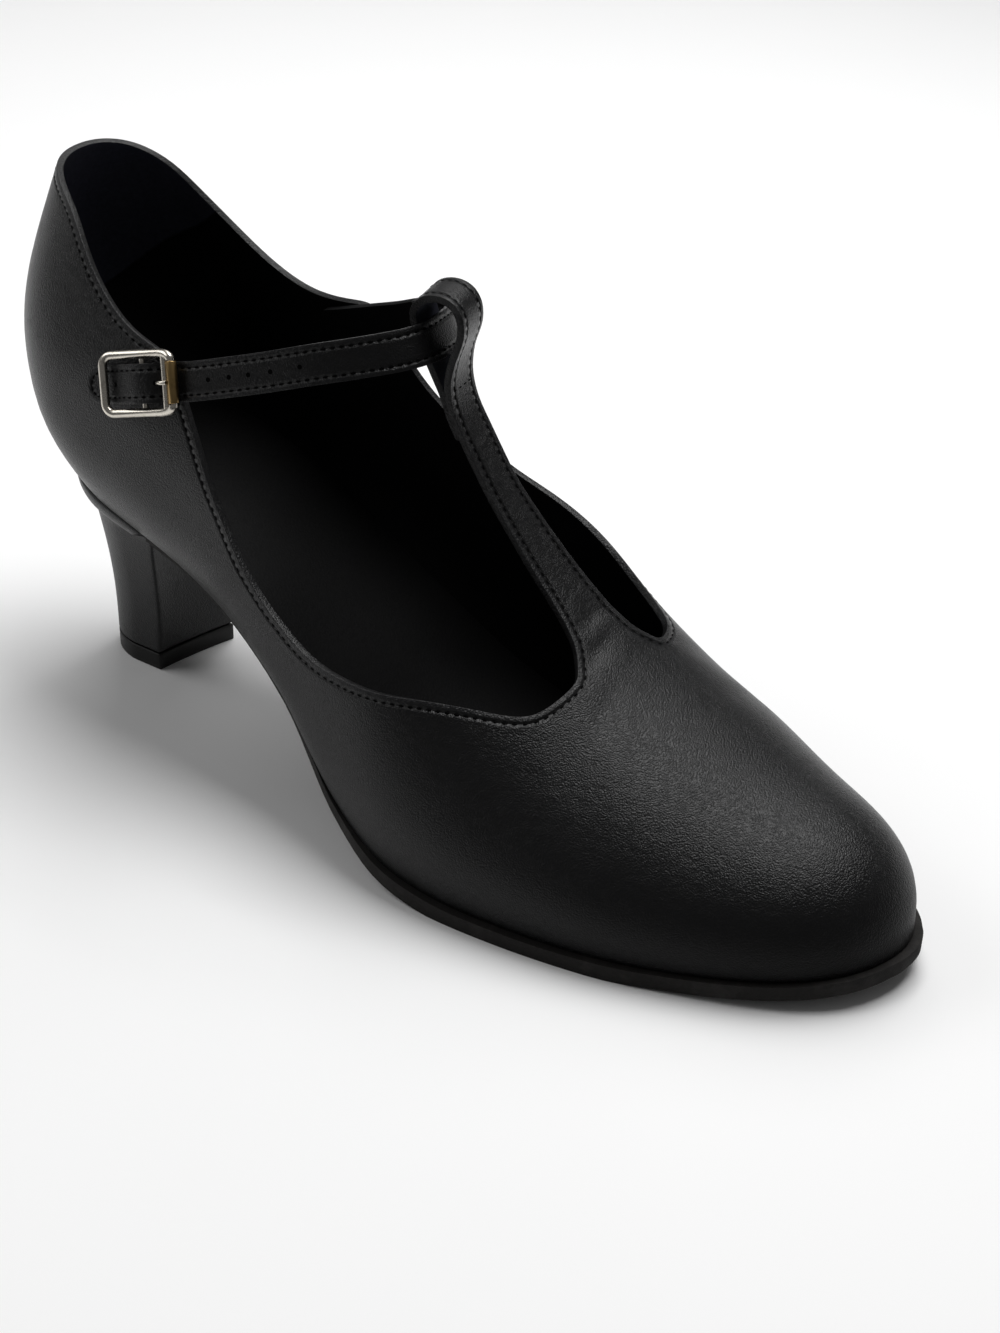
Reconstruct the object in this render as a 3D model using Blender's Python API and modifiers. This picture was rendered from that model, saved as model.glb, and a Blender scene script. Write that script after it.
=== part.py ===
import math
import bpy
import bmesh
import numpy as np
from mathutils import Matrix, Vector

# Driving sizes of the shoe in metres
length = 0.2388
ball_width = 0.082
heel_height = 0.0585
counter_height = 0.066
wall = 0.0016
gap = 0.0003
sole_thick = 0.0036
insole_thick = 0.0020
top_lift_thick = 0.0045
strap_width = 0.0086
strap_thick = 0.0016
bar_width = 0.0104
bar_turn = math.radians(17)

# Rounding of the two ends in plan
toe_round = 0.050
toe_power = 2.45
toe_rise = 0.026
heel_round = 0.030
heel_power = 2.1
inset_height = 0.018
lean = 0.26
lean_from = 0.030
lean_over = 0.048
lean_fade = 0.050
lean_end = 0.105

# Cells of the faceted solids
row_cells = 13
root_cells = 12
across_cells = 6

# station, sole line, lateral, medial, ridge, shift, fullness, inset
plan = [
    (0.00, 1.040, .398, .360, 1.592, .000, 2.7, .0055),
    (0.08, .985, .408, .362, 1.574, .000, 2.7, .0055),
    (0.20, .885, .414, .362, 1.592, .000, 2.7, .0052),
    (0.30, .735, .415, .360, 1.592, .005, 2.9, .0056),
    (0.40, .490, .442, .372, 1.491, .010, 4.0, .0048),
    (0.50, .210, .512, .418, 1.245, .015, 6.0, .0030),
    (0.56, .114, .552, .446, 1.053, .018, 6.0, .0028),
    (0.62, .074, .556, .470, .854, .022, 5.0, .0028),
    (0.69, .066, .534, .488, .683, .032, 3.9, .0028),
    (0.78, .069, .480, .474, .543, .044, 3.2, .0028),
    (0.87, .085, .398, .415, .434, .055, 2.45, .0028),
    (0.94, .112, .358, .380, .380, .058, 2.3, .0028),
    (1.00, .145, .338, .350, .347, .058, 2.3, .0028)]

# height share, set back from the counter
back = [(0.0, .0100), (0.1, .0062), (0.2, .0034), (0.4, .0003), (0.6, .0008), (0.8, .0035), (1.0, .0072),
        (1.4, .016)]

# Heights are shares of the counter height, above the sole line
# station, height share, share of the edge
lateral_top = [
    (.035, 1.010, .032), (.045, 1.009, .048), (.060, 1.005, .066), (.088, .998, .098), (.115, .970, .128),
    (.140, .893, .155), (.166, .823, .184), (.197, .772, .218), (.224, .762, .247),
    (.250, .775, .275), (.270, .755, .297), (.286, .700, .315), (.310, .598, .342),
    (.332, .495, .367), (.358, .414, .396), (.395, .362, .432), (.425, .385, .462),
    (.452, .416, .488), (.480, .470, .516), (.506, .521, .542), (.530, .562, .567),
    (.551, .594, .591), (.573, .622, .617), (.594, .637, .643), (.614, .640, .670),
    (.632, .638, .698), (.648, .630, .727), (.661, .626, .757), (.674, .627, .788)]
medial_top = [
    (.035, 1.011, .032), (.046, 1.005, .050), (.060, .989, .070), (.081, .946, .094), (.100, .860, .120),
    (.127, .776, .150), (.164, .705, .190), (.202, .679, .230), (.240, .702, .268),
    (.281, .779, .303), (.305, .840, .326), (.322, .860, .344), (.338, .815, .362),
    (.357, .735, .382), (.386, .702, .412), (.425, .700, .452), (.462, .720, .490),
    (.491, .752, .520), (.518, .769, .548), (.545, .770, .577), (.570, .755, .606),
    (.592, .730, .635), (.614, .700, .667), (.638, .668, .702), (.660, .646, .740),
    (.677, .636, .780)]

# lateral edge station and side, medial edge station and side, in shares
root_row = (.681, -.135, .690, .212)
bar_rows = [
    (.668, -.082, .678, .172),
    (.652, -.050, .664, .150),
    (.628, -.032, .640, .138),
    (.600, -.028, .608, .124),
    (.570, -.028, .574, .104),
    (.545, -.028, .546, .090)]

# station, height share of the strip and its fold over the ankle strap
bar_path = [
    (.5320, 1.1623),
    (.5170, 1.2050),
    (.5050, 1.2516),
    (.4990, 1.3075),
    (.4985, 1.3657),
    (.5025, 1.4396),
    (.5095, 1.5199),
    (.5095, 1.5851),
    (.4995, 1.6160),
    (.4805, 1.5885),
    (.4590, 1.5079),
    (.4475, 1.4167),
    (.4535, 1.3661),
    (.4630, 1.3289),
    (.4735, 1.2901),
    (.4840, 1.2541),
    (.4920, 1.2014),
    (.5040, 1.1559)]

# Ankle strap between the buckle and the inner quarter
# station, share of the ball width, height share, lean of its width
free_rows = [
    (.3250, -.3439, .8842, -.24, .24),
    (.3650, -.3012, 1.0180, -.32, .22),
    (.4050, -.2512, 1.1600, -.40, .17),
    (.4400, -.1854, 1.2860, -.48, .10),
    (.4680, -.1037, 1.3840, -.53, .02),
    (.4780, -.0244, 1.4161, -.54, -.04),
    (.4740, .0671, 1.4035, -.52, -.10),
    (.4600, .1585, 1.3469, -.48, -.16),
    (.4330, .2378, 1.2335, -.40, -.20),
    (.3950, .2800, 1.0889, -.32, -.22)]
# station and height share where the strap lies on the inner quarter
lapped_rows = [(.355, .9460), (.320, .8224), (.288, .7192), (.258, .6325)]
# distance along the buckle, stand of the under face above the quarter
tail_rows = [
    (-.0160, .00035), (-.0132, .00035), (-.0102, .00050), (-.0075, .00130),
    (-.0040, .00260), (.0000, .00340), (.0034, .00280), (.0057, .00120),
    (.0076, .00040), (.0104, .00040), (.0140, .00080)]

# share of the heel height, back, breast, half width, side shift, breast hollow
heel_rows = [
    (0.00, .0152, .0385, .0120, -.0015, .0004),
    (0.10, .0149, .0385, .0119, -.0014, .0006),
    (0.25, .0144, .0386, .0122, -.0012, .0012),
    (0.45, .0134, .0391, .0136, -.0009, .0020),
    (0.65, .0122, .0405, .0160, -.0006, .0026),
    (0.80, .0112, .0427, .0182, -.0004, .0026),
    (0.92, .0104, .0466, .0206, -.0003, .0016),
    (1.00, .0100, .0505, .0222, -.0002, .0000)]
heel_bow = 0.64
heel_skew = 0.15
seat_from = 0.70

# station, how far the sole edge stands out, thickness share
edge_rows = [(0.00, -.0006, .55), (0.17, -.0010, .55), (0.32, -.0012, .58), (0.42, -.0006, .66),
             (0.50, .0006, .84), (0.56, .0012, 1.0), (0.90, .0012, 1.0), (1.00, .0012, .94)]

# Buckle sizes
frame_long = 0.0212
frame_room = 0.0020
frame_bar = 0.0010
frame_corner = 0.0022
frame_clear = 0.00065
frame_bow = 0.0010
centre_bar = 0.0006
centre_stand = 0.0018
inner_bar = 0.00085
axle = 0.0007
axle_half = 0.0048
roller_radius = 0.00115
roller_inset = 0.0022
prong_radius = 0.00048
tab_thick = 0.0006
tab_width = 0.0078
tab_slot = 0.0024
buckle_station = 0.2440
buckle_level = 0.6580
buckle_pitch = math.radians(16.5)
hole_place = 0.667
hole_radius = 0.0014
# share of the way to the inner bar, stand above the quarter, up through the strap
prong_rows = [(.317, .00115), (.444, .00125), (.571, .0020), (.683, .0031), (.810, .0043),
              (.984, .0049), (1.159, .0047)]
tab_rows = [(-.0066, .00068), (-.0040, .00066), (-.0015, .00064), (.0000, .00062), (.0011, .00092),
            (.0015, .00175), (.0011, .00258), (.0000, .00288), (-.0012, .00262), (-.0026, .00200),
            (-.0042, .00168)]


def table(rows):
    # One smooth curve for each column after the first
    data = np.array(rows, float)
    x = data[:, 0]
    curves = []
    for column in range(1, data.shape[1]):
        y = data[:, column]
        d = np.diff(y) / np.diff(x)
        h = np.diff(x)
        m = np.empty_like(y)
        m[0] = d[0]
        m[-1] = d[-1]
        m[1:-1] = (d[:-1] * h[1:] + d[1:] * h[:-1]) / (h[1:] + h[:-1])

        def curve(q, x=x, y=y, m=m, h=h):
            q = np.clip(np.asarray(q, float), x[0], x[-1])
            i = np.clip(np.searchsorted(x, q, side='right') - 1, 0, len(x) - 2)
            t = (q - x[i]) / h[i]
            first = (2 * t**3 - 3 * t**2 + 1) * y[i] + (t**3 - 2 * t**2 + t) * h[i] * m[i]
            return first + (-2 * t**3 + 3 * t**2) * y[i + 1] + (t**3 - t**2) * h[i] * m[i + 1]
        curves.append(curve)
    return curves


def smooth_rows(rows, cells):
    # A smooth run through the rows, each span cut into the same cells
    data = np.array(rows, float)
    out = []
    for i in range(len(data) - 1):
        p0 = data[max(i - 1, 0)]
        p1 = data[i]
        p2 = data[i + 1]
        p3 = data[min(i + 2, len(data) - 1)]
        for k in range(cells):
            t = k / cells
            a = 2 * p1 + (p2 - p0) * t
            b = (2 * p0 - 5 * p1 + 4 * p2 - p3) * t * t
            out.append(0.5 * (a + b + (3 * p1 - p0 - 3 * p2 + p3) * t**3))
    out.append(data[-1])
    return np.array(out)


sole_share, lateral_share, medial_share, ridge_share, shift_share, fullness, inset_of = table(plan)
back_of, = table(back)
edge_out, edge_thick = table(edge_rows)
heel_back, heel_breast, heel_half, heel_shift, heel_hollow = table(heel_rows)


def round_off(u, power):
    u = np.clip(u, 0, 1)
    return (1 - (1 - u)**power)**(1 / power)


def sole_line(x):
    return sole_share(x / length) * heel_height


def level(station, share):
    # Height above the floor at a share of the counter height
    return float(sole_line(station * length)) + share * counter_height


def shift_at(x):
    return shift_share(x / length) * ball_width


def ridge_at(x):
    return ridge_share(x / length) * counter_height * round_off((length - x) / toe_rise, toe_power)


def back_at(h):
    return back_of(h / counter_height)


def side_power(x, side):
    return np.where(side < 0, 2.3, fullness(x / length))


def full_width(x, h, side):
    # Widest half width of the section at x, from the shifted middle
    share = np.where(side < 0, lateral_share(x / length), medial_share(x / length)) * ball_width
    w = share - side * shift_at(x)
    w = w * round_off((length - x) / toe_round, toe_power)
    return w * round_off((x - back_at(h)) / heel_round, heel_power)


def half_width(x, h, side):
    w = full_width(x, h, side)
    e = np.clip(h / np.maximum(ridge_at(x), 1e-9), 0, 1)
    profile = np.sqrt(1 - e**side_power(x, side))
    low = np.clip(1 - h / inset_height, 0, 1)
    q = np.clip((h - lean_from) / lean_over, 0, 1)
    fade = np.clip((lean_end - x) / lean_fade, 0, 1)
    tilt = 1 - lean * fade * q * q * (3 - 2 * q)
    tucked = w - inset_of(x / length) * low**2 * np.clip(w / 0.01, 0, 1)
    return np.maximum(tucked, 0) * profile * tilt


def outside_point(x, h, side):
    y = shift_at(x) + side * half_width(x, h, side)
    return np.stack(np.broadcast_arrays(x, y, sole_line(x) + h), -1)


def top_at(x, y):
    # Height of the instep surface over a place in plan
    off = y - shift_at(x)
    side = np.where(off < 0, -1.0, 1.0)
    w = full_width(x, 1.0, side)
    e = (1 - np.clip(np.abs(off) / w, 0, 1)**2)**(1 / side_power(x, side))
    return sole_line(x) + e * ridge_at(x)


def is_inside(p):
    x = np.clip(p[..., 0], 0, length)
    h = p[..., 2] - sole_line(x)
    off = p[..., 1] - shift_at(x)
    side = np.where(off < 0, -1.0, 1.0)
    room = half_width(x, np.maximum(h, 0), side)
    return (p[..., 0] > 0) & (p[..., 0] < length) & (h < ridge_at(x)) & (np.abs(off) < room)


def edge_line(side, count=400):
    # The line where upper and sole meet, even along its length
    x = length * 0.5 * (1 - np.cos(np.linspace(0, math.pi, count)))
    x = np.clip(x, back_at(0.0) + 1e-6, length)
    p = outside_point(x, np.zeros_like(x), side)
    run = np.concatenate([[0], np.cumsum(np.linalg.norm(np.diff(p, axis=0), axis=1))])
    return run / run[-1], p


def edge_point(side, share):
    run, p = edge_line(side)
    return np.stack([np.interp(share, run, p[:, i]) for i in range(3)], -1)


def new_mesh(name, verts, faces, colour, rough, metal=0.0, smooth=True, crease=40):
    mesh = bpy.data.meshes.new(name)
    mesh.from_pydata([tuple(float(c) for c in v) for v in verts], [], faces)
    bm = bmesh.new()
    bm.from_mesh(mesh)
    bmesh.ops.remove_doubles(bm, verts=bm.verts, dist=1e-6)
    bmesh.ops.recalc_face_normals(bm, faces=bm.faces)
    if all(edge.is_manifold for edge in bm.edges) and bm.calc_volume(signed=True) < 0:
        bmesh.ops.reverse_faces(bm, faces=bm.faces)
    for face in bm.faces:
        face.smooth = smooth
    for edge in bm.edges:
        if len(edge.link_faces) == 2 and edge.calc_face_angle(0) > math.radians(crease):
            edge.smooth = False
    bm.to_mesh(mesh)
    bm.free()
    return add_object(name, mesh, colour, rough, metal)


def add_object(name, mesh, colour, rough, metal=0.0):
    obj = bpy.data.objects.new(name, mesh)
    shoe.objects.link(obj)
    mat = bpy.data.materials.new(name)
    mat.use_nodes = True
    surface = mat.node_tree.nodes["Principled BSDF"]
    surface.inputs["Base Color"].default_value = (*colour, 1.0)
    surface.inputs["Roughness"].default_value = rough
    surface.inputs["Metallic"].default_value = metal
    mesh.materials.clear()
    mesh.materials.append(mat)
    return obj


def solidify(obj, thick, offset=-1.0):
    mod = obj.modifiers.new("wall", 'SOLIDIFY')
    mod.thickness = thick
    mod.offset = offset
    mod.use_even_offset = True
    mod.use_quality_normals = True
    return mod


# Clear the scene
for old in list(bpy.data.objects):
    bpy.data.objects.remove(old, do_unlink=True)
shoe = bpy.data.collections.new("t_strap_shoe")
bpy.context.scene.collection.children.link(shoe)
cutters = bpy.data.collections.new("cutters")
bpy.context.scene.collection.children.link(cutters)

black = (0.014, 0.014, 0.015)
lining = (0.018, 0.018, 0.020)
nickel = (0.78, 0.75, 0.70)
brass = (0.62, 0.46, 0.24)


# Upper
def side_run(rows, side):
    # Topline points and edge points of one side, from the heel to the throat
    fine = np.array(rows)
    x = fine[:, 0] * length
    h = fine[:, 1] * counter_height
    return outside_point(x, h, side), edge_point(side, fine[:, 2])


def root_run():
    # Topline points across the root of the strip, edge points round the toe
    v = np.linspace(0, 1, root_cells + 1)
    x = (root_row[0] + (root_row[2] - root_row[0]) * v) * length
    x = x + 0.006 * ball_width * np.sin(math.pi * v)
    y = (root_row[1] + (root_row[3] - root_row[1]) * v) * ball_width
    tops = np.stack([x, y, top_at(x, y)], -1)
    turn = np.interp(v, [0, 0.5, 1], [0.820, 1.0, 1.185])
    edges = [edge_point(-1, t) if t <= 1 else edge_point(1, 2 - t) for t in turn]
    return tops, np.array(edges)


def back_seam():
    h = counter_height * 1.010
    x = back_at(h) + 1e-5
    top = np.array([x, 0.0, sole_line(x) + h])
    foot = edge_point(-1, 0.0)
    foot[1] = 0.0
    return top, foot


def upper_columns():
    seam_top, seam_foot = back_seam()
    lat_top, lat_foot = side_run(lateral_top, -1)
    med_top, med_foot = side_run(medial_top, 1)
    mid_top, mid_foot = root_run()
    tops = np.concatenate([[seam_top], lat_top, mid_top, med_top[::-1]])
    feet = np.concatenate([[seam_foot], lat_foot, mid_foot, med_foot[::-1]])
    return tops, feet, 1 + len(lat_top)


def upper_grid(tops, feet, cells):
    # Each column follows the last in the plane of its two ends and a point inside it
    mid = 0.5 * (tops[:, 0] + feet[:, 0])
    cx = np.clip(mid, 0.035, 0.190)
    centre = np.stack([cx, shift_at(cx), sole_line(cx) + 0.012], -1)
    a = feet - centre
    b = tops - centre
    la = np.linalg.norm(a, axis=1, keepdims=True)
    lb = np.linalg.norm(b, axis=1, keepdims=True)
    a = a / la
    b = b / lb
    angle = np.arccos(np.clip((a * b).sum(1), -1, 1))[:, None]

    def at(t):
        way = (np.sin((1 - t) * angle) * a + np.sin(t * angle) * b) / np.sin(angle)
        near = np.zeros_like(t)
        far = np.full_like(t, 0.20)
        for step in range(34):
            mid_way = 0.5 * (near + far)
            held = is_inside(centre + way * mid_way)[:, None]
            near = np.where(held, mid_way, near)
            far = np.where(held, far, mid_way)
        return centre + way * near

    count = len(tops)
    probe = np.linspace(0, 1, 41)
    path = np.stack([at(np.full((count, 1), t)) for t in probe[1:-1]])
    path = np.concatenate([feet[None], path, tops[None]])
    run = np.concatenate([np.zeros((1, count)),
                          np.cumsum(np.linalg.norm(np.diff(path, axis=0), axis=2), axis=0)])
    rows = [feet]
    for k in range(1, cells):
        goal = run[-1] * k / cells
        t = np.array([np.interp(goal[i], run[:, i], probe) for i in range(count)])[:, None]
        rows.append(at(t))
    rows.append(tops)
    return np.array(rows)


def bar_grid(root):
    # The strip grows out of the vamp, runs up the instep and folds over the ankle strap
    v = np.linspace(0, 1, root_cells + 1)
    low = smooth_rows([root_row] + bar_rows, 2)[1:]
    rows = [root]
    for left, left_y, right, right_y in low:
        x = (left + (right - left) * v) * length
        y = (left_y + (right_y - left_y) * v) * ball_width
        rows.append(np.stack([x, y, top_at(x, y)], -1))
    last = rows[-1]
    dome = last[:, 2] - last[:, 2].max()
    mid_y = last[0, 1] + 0.5 * bar_width
    side = (v - 0.5) * bar_width
    skew = math.tan(bar_turn)
    path = smooth_rows([(s * length, level(s, share)) for s, share in bar_path], 2)
    way = np.gradient(path, axis=0)
    way = way / np.linalg.norm(way, axis=1, keepdims=True)
    for i in range(2, len(path)):
        out = np.array([way[i, 1], -way[i, 0]])
        keep = max(0.0, 1 - i / 8)
        x = path[i, 0] + dome * keep * out[0] - side * skew * min(1.0, i / 10)
        z = path[i, 1] + dome * keep * out[1]
        y = mid_y + side
        rows.append(np.stack([x, y, z], -1))
    return np.array(rows)


def build_upper():
    tops, feet, first_root = upper_columns()
    grid = upper_grid(tops, feet, row_cells)
    rows, count = grid.shape[:2]
    verts = list(grid.reshape(-1, 3))
    faces = []
    for r in range(rows - 1):
        for c in range(count):
            d = (c + 1) % count
            faces.append((r * count + c, r * count + d, (r + 1) * count + d, (r + 1) * count + c))
    root_ids = [(rows - 1) * count + first_root + k for k in range(root_cells + 1)]
    strip = bar_grid(tops[first_root:first_root + root_cells + 1])
    below = root_ids
    for row in strip[1:]:
        start = len(verts)
        verts.extend(row)
        here = list(range(start, start + root_cells + 1))
        for k in range(root_cells):
            faces.append((below[k], below[k + 1], here[k + 1], here[k]))
        below = here
    obj = new_mesh("upper", verts, faces, black, 0.34, crease=60)
    solidify(obj, wall)
    return obj


# Sole parts
def outline(offset, first, last, count):
    # Level outlines of both sides, moved out by the offset, at even rounded stations
    sides = []
    t = np.linspace(0, math.pi, count)
    for side in (-1, 1):
        run, p = edge_line(side, 600)
        p = p[:, :2]
        way = np.gradient(p, axis=0)
        way = way / np.maximum(np.linalg.norm(way, axis=1, keepdims=True), 1e-12)
        out = np.stack([-way[:, 1] * side, way[:, 0] * side], -1)
        out[0] = (-1, 0)
        out[-1] = (1, 0)
        step = offset(p[:, 0] / length)[:, None]
        q = p + out * step
        lo = q[0, 0] if first is None else first
        hi = q[-1, 0]
        if last is not None:
            hi = last
        if first is None:
            x = lo + (hi - lo) * 0.5 * (1 - np.cos(t))
        else:
            x = lo + (hi - lo) * np.sin(t / 2)
        keep = np.concatenate([[True], np.diff(np.maximum.accumulate(q[:, 0])) > 1e-9])
        y = np.interp(x, q[keep, 0], q[keep, 1])
        sides.append((x, y))
    return sides


def slab(name, offset, first, top, bottom, colour, rough, count=40, across=across_cells):
    # A plate between two height functions inside an outline
    (x, left), (_, right) = outline(offset, first, None, count)
    verts = []
    rows = []
    for level in (top, bottom):
        rows.append([])
        for i in range(count):
            v = np.linspace(0, 1, across + 1)
            ys = left[i] + (right[i] - left[i]) * v
            tip = (i == 0 and first is None) or i == count - 1
            if tip:
                ys = np.array([0.5 * (left[i] + right[i])] * (across + 1))
            start = len(verts)
            for y in ys:
                verts.append((x[i], y, float(level(x[i], y))))
            rows[-1].append(range(start, start + across + 1))
    faces = []
    for level in rows:
        for i in range(count - 1):
            for k in range(across):
                faces.append((level[i][k], level[i][k + 1], level[i + 1][k + 1], level[i + 1][k]))
    upper_row, lower_row = rows
    for i in range(count - 1):
        for k in (0, across):
            faces.append((upper_row[i][k], upper_row[i + 1][k], lower_row[i + 1][k], lower_row[i][k]))
    for i in (0, count - 1):
        for k in range(across):
            faces.append((upper_row[i][k], upper_row[i][k + 1], lower_row[i][k + 1], lower_row[i][k]))
    obj = new_mesh_clean(name, verts, faces, colour, rough)
    return obj


def new_mesh_clean(name, verts, faces, colour, rough, metal=0.0):
    # Same as new_mesh after dropping faces that closed up at a tip
    mesh = bpy.data.meshes.new("rough_" + name)
    mesh.from_pydata([tuple(float(c) for c in v) for v in verts], [], faces)
    bm = bmesh.new()
    bm.from_mesh(mesh)
    bmesh.ops.remove_doubles(bm, verts=bm.verts, dist=1e-6)
    bmesh.ops.dissolve_degenerate(bm, edges=bm.edges, dist=1e-7)
    bm.verts.index_update()
    points = [tuple(v.co) for v in bm.verts]
    sides = [[v.index for v in f.verts] for f in bm.faces]
    bm.free()
    bpy.data.meshes.remove(mesh)
    return new_mesh(name, points, sides, colour, rough, metal)


def sole_bottom(x, y):
    thick = sole_thick * edge_thick(x / length)
    return max(0.0, float(sole_line(x) - gap - thick))


def build_outsole():
    return slab("outsole", edge_out, float(heel_breast(1.0)) + gap, lambda x, y: sole_line(x) - gap,
                sole_bottom, (0.016, 0.015, 0.015), 0.62, 38)


def build_insole():
    def inside(s):
        return -(wall * 1.15 + 2 * gap + wall * np.clip((s - 0.90) / 0.08, 0, 1))
    return slab("insole", inside, None, lambda x, y: sole_line(x) + insole_thick,
                lambda x, y: sole_line(x), lining, 0.55, 40)


# Heel and its lift
def heel_ring(t):
    # Plan of the heel at a share of its height, lateral corner round the back to the medial one
    rear, breast = float(heel_back(t)), float(heel_breast(t))
    half, shift, hollow = float(heel_half(t)), float(heel_shift(t)), float(heel_hollow(t))
    seat = np.clip((t - seat_from) / (1 - seat_from), 0, 1)
    seat = seat * seat * (3 - 2 * seat)
    u = 1 - np.cos(np.linspace(0, math.pi / 2, 13))
    x = rear + (breast - rear) * u
    y = half * round_off(u / heel_bow, heel_power) * (1 - 0.05 * np.clip(u - 0.6, 0, 1) / 0.4)
    runs = []
    for side in (-1, 1):
        edge = shift_at(x) + side * half_width(x, np.zeros_like(x), side)
        across = (shift + side * y) * (1 - seat) + edge * seat
        runs.append(np.stack([x + heel_skew * (1 - t) * across * u, across], -1))
    lateral, medial = runs
    ring = [tuple(p) for p in lateral[:0:-1]] + [tuple(p) for p in medial]
    for k in range(1, 6):
        f = k / 6
        px, py = medial[-1] * (1 - f) + lateral[-1] * f
        ring.append((px - hollow * (1 - (1 - 2 * f)**2), py))
    return ring


def heel_top(x):
    return float(sole_line(x)) - gap


def build_heel():
    shares = [0.0, 0.08, 0.18, 0.30, 0.42, 0.54, 0.66, 0.78, 0.88, 0.95, 1.0]
    verts = []
    for t in shares:
        for x, y in heel_ring(t):
            base = top_lift_thick + gap
            verts.append((x, y, base + (heel_top(x) - base) * t))
    n = len(heel_ring(0.0))
    faces = []
    for r in range(len(shares) - 1):
        for c in range(n):
            d = (c + 1) % n
            faces.append((r * n + c, r * n + d, (r + 1) * n + d, (r + 1) * n + c))
    faces.append(tuple(range(n)))
    top = (len(shares) - 1) * n
    for i in range(11):
        faces.append((top + i, top + i + 1, top + 23 - i, top + 24 - i))
    faces.append((top + 11, top + 12, top + 13))
    front = [top + 24] + [top + k for k in range(25, n)] + [top]
    faces.append(tuple(front))
    faces = [f for f in faces if len(set(f)) > 2]
    return new_mesh_clean("heel", verts, faces, black, 0.36)


def build_top_lift():
    ring = heel_ring(0.0)
    n = len(ring)
    verts = [(x, y, 0.0) for x, y in ring] + [(x, y, top_lift_thick) for x, y in ring]
    faces = [tuple(range(n)), tuple(range(n, 2 * n))]
    faces = faces + [(c, (c + 1) % n, n + (c + 1) % n, n + c) for c in range(n)]
    return new_mesh("top_lift", verts, faces, (0.02, 0.019, 0.018), 0.45)


# Ankle strap
def band(points, leans, width, across=4):
    # Rows of a flat band along a line, its width leaning as the table says
    way = np.gradient(points, axis=0)
    way = way / np.linalg.norm(way, axis=1, keepdims=True)
    lean_way = leans - way * (leans * way).sum(1, keepdims=True)
    lean_way = lean_way / np.linalg.norm(lean_way, axis=1, keepdims=True)
    v = np.linspace(-0.5, 0.5, across + 1)
    return points[:, None, :] + lean_way[:, None, :] * v[None, :, None] * width[:, None, None]


def band_faces(rows, columns):
    faces = []
    for r in range(rows - 1):
        for c in range(columns - 1):
            a = r * columns + c
            faces.append((a, a + 1, a + 1 + columns, a + columns))
    return faces


def surface_frame(x, z, side):
    # Point of the quarter with its outward, upward and forward ways
    h = z - sole_line(x)
    p = outside_point(x, h, side)
    px = outside_point(x + 0.001, h, side) - outside_point(x - 0.001, h, side)
    ph = outside_point(x, h + 0.001, side) - outside_point(x, h - 0.001, side)
    out = np.cross(px, ph) * (1 if side < 0 else -1)
    out = out / np.linalg.norm(out)
    up = np.array([0, 0, 1.0]) - out * out[2]
    up = up / np.linalg.norm(up)
    return p, out, up, np.cross(up, out) * (1 if side < 0 else -1)


def buckle_frame_axes():
    # Centre of the buckle, ways along, across and off the quarter
    p, out, up, _ = surface_frame(buckle_station * length, level(buckle_station, buckle_level), -1)
    flat = np.cross(up, out)
    if flat[0] < 0:
        flat = -flat
    along = flat * math.cos(buckle_pitch) + up * math.sin(buckle_pitch)
    across = up * math.cos(buckle_pitch) - flat * math.sin(buckle_pitch)
    return p, along, across, out


def at_buckle(u, v, n):
    p, along, across, out = buckle_frame_axes()
    return p + along * u + across * v + out * n


def strap_line():
    across = buckle_frame_axes()[2]
    rows = [np.concatenate([at_buckle(u, 0, n + strap_thick), across]) for u, n in tail_rows]
    for s, side, share, lean_x, lean_y in free_rows:
        rows.append(np.array([s * length, side * ball_width, level(s, share), lean_x, lean_y, 1.0]))
    for s, share in lapped_rows:
        p, out, up, _ = surface_frame(s * length, level(s, share), 1)
        rows.append(np.concatenate([p - out * (wall + gap), up]))
    fine = smooth_rows(rows, 3)
    return fine[:, :3], fine[:, 3:]


def build_ankle_strap():
    points, leans = strap_line()
    run = np.concatenate([[0], np.cumsum(np.linalg.norm(np.diff(points, axis=0), axis=1))])
    tip = strap_width * round_off(run / (strap_width * 0.55) + 0.03, 2.0)
    end = strap_width * round_off((run[-1] - run) / (strap_width * 0.30) + 0.25, 2.4)
    width = np.minimum(tip, end)
    grid = band(points, leans, width)
    verts = list(grid.reshape(-1, 3))
    obj = new_mesh("ankle_strap", verts, band_faces(*grid.shape[:2]), black, 0.36)
    solidify(obj, strap_thick)
    cutter = tube("strap_hole", [at_buckle(hole_place * inner_bar_place(), 0, n) for n in (-0.002, 0.007)], hole_radius, 12)
    shoe.objects.unlink(cutter)
    cutters.objects.link(cutter)
    cutter.hide_render = True
    cutter.display_type = 'WIRE'
    cut = obj.modifiers.new("prong hole", 'BOOLEAN')
    cut.operation = 'DIFFERENCE'
    cut.solver = 'EXACT'
    cut.object = cutter
    return obj


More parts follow.
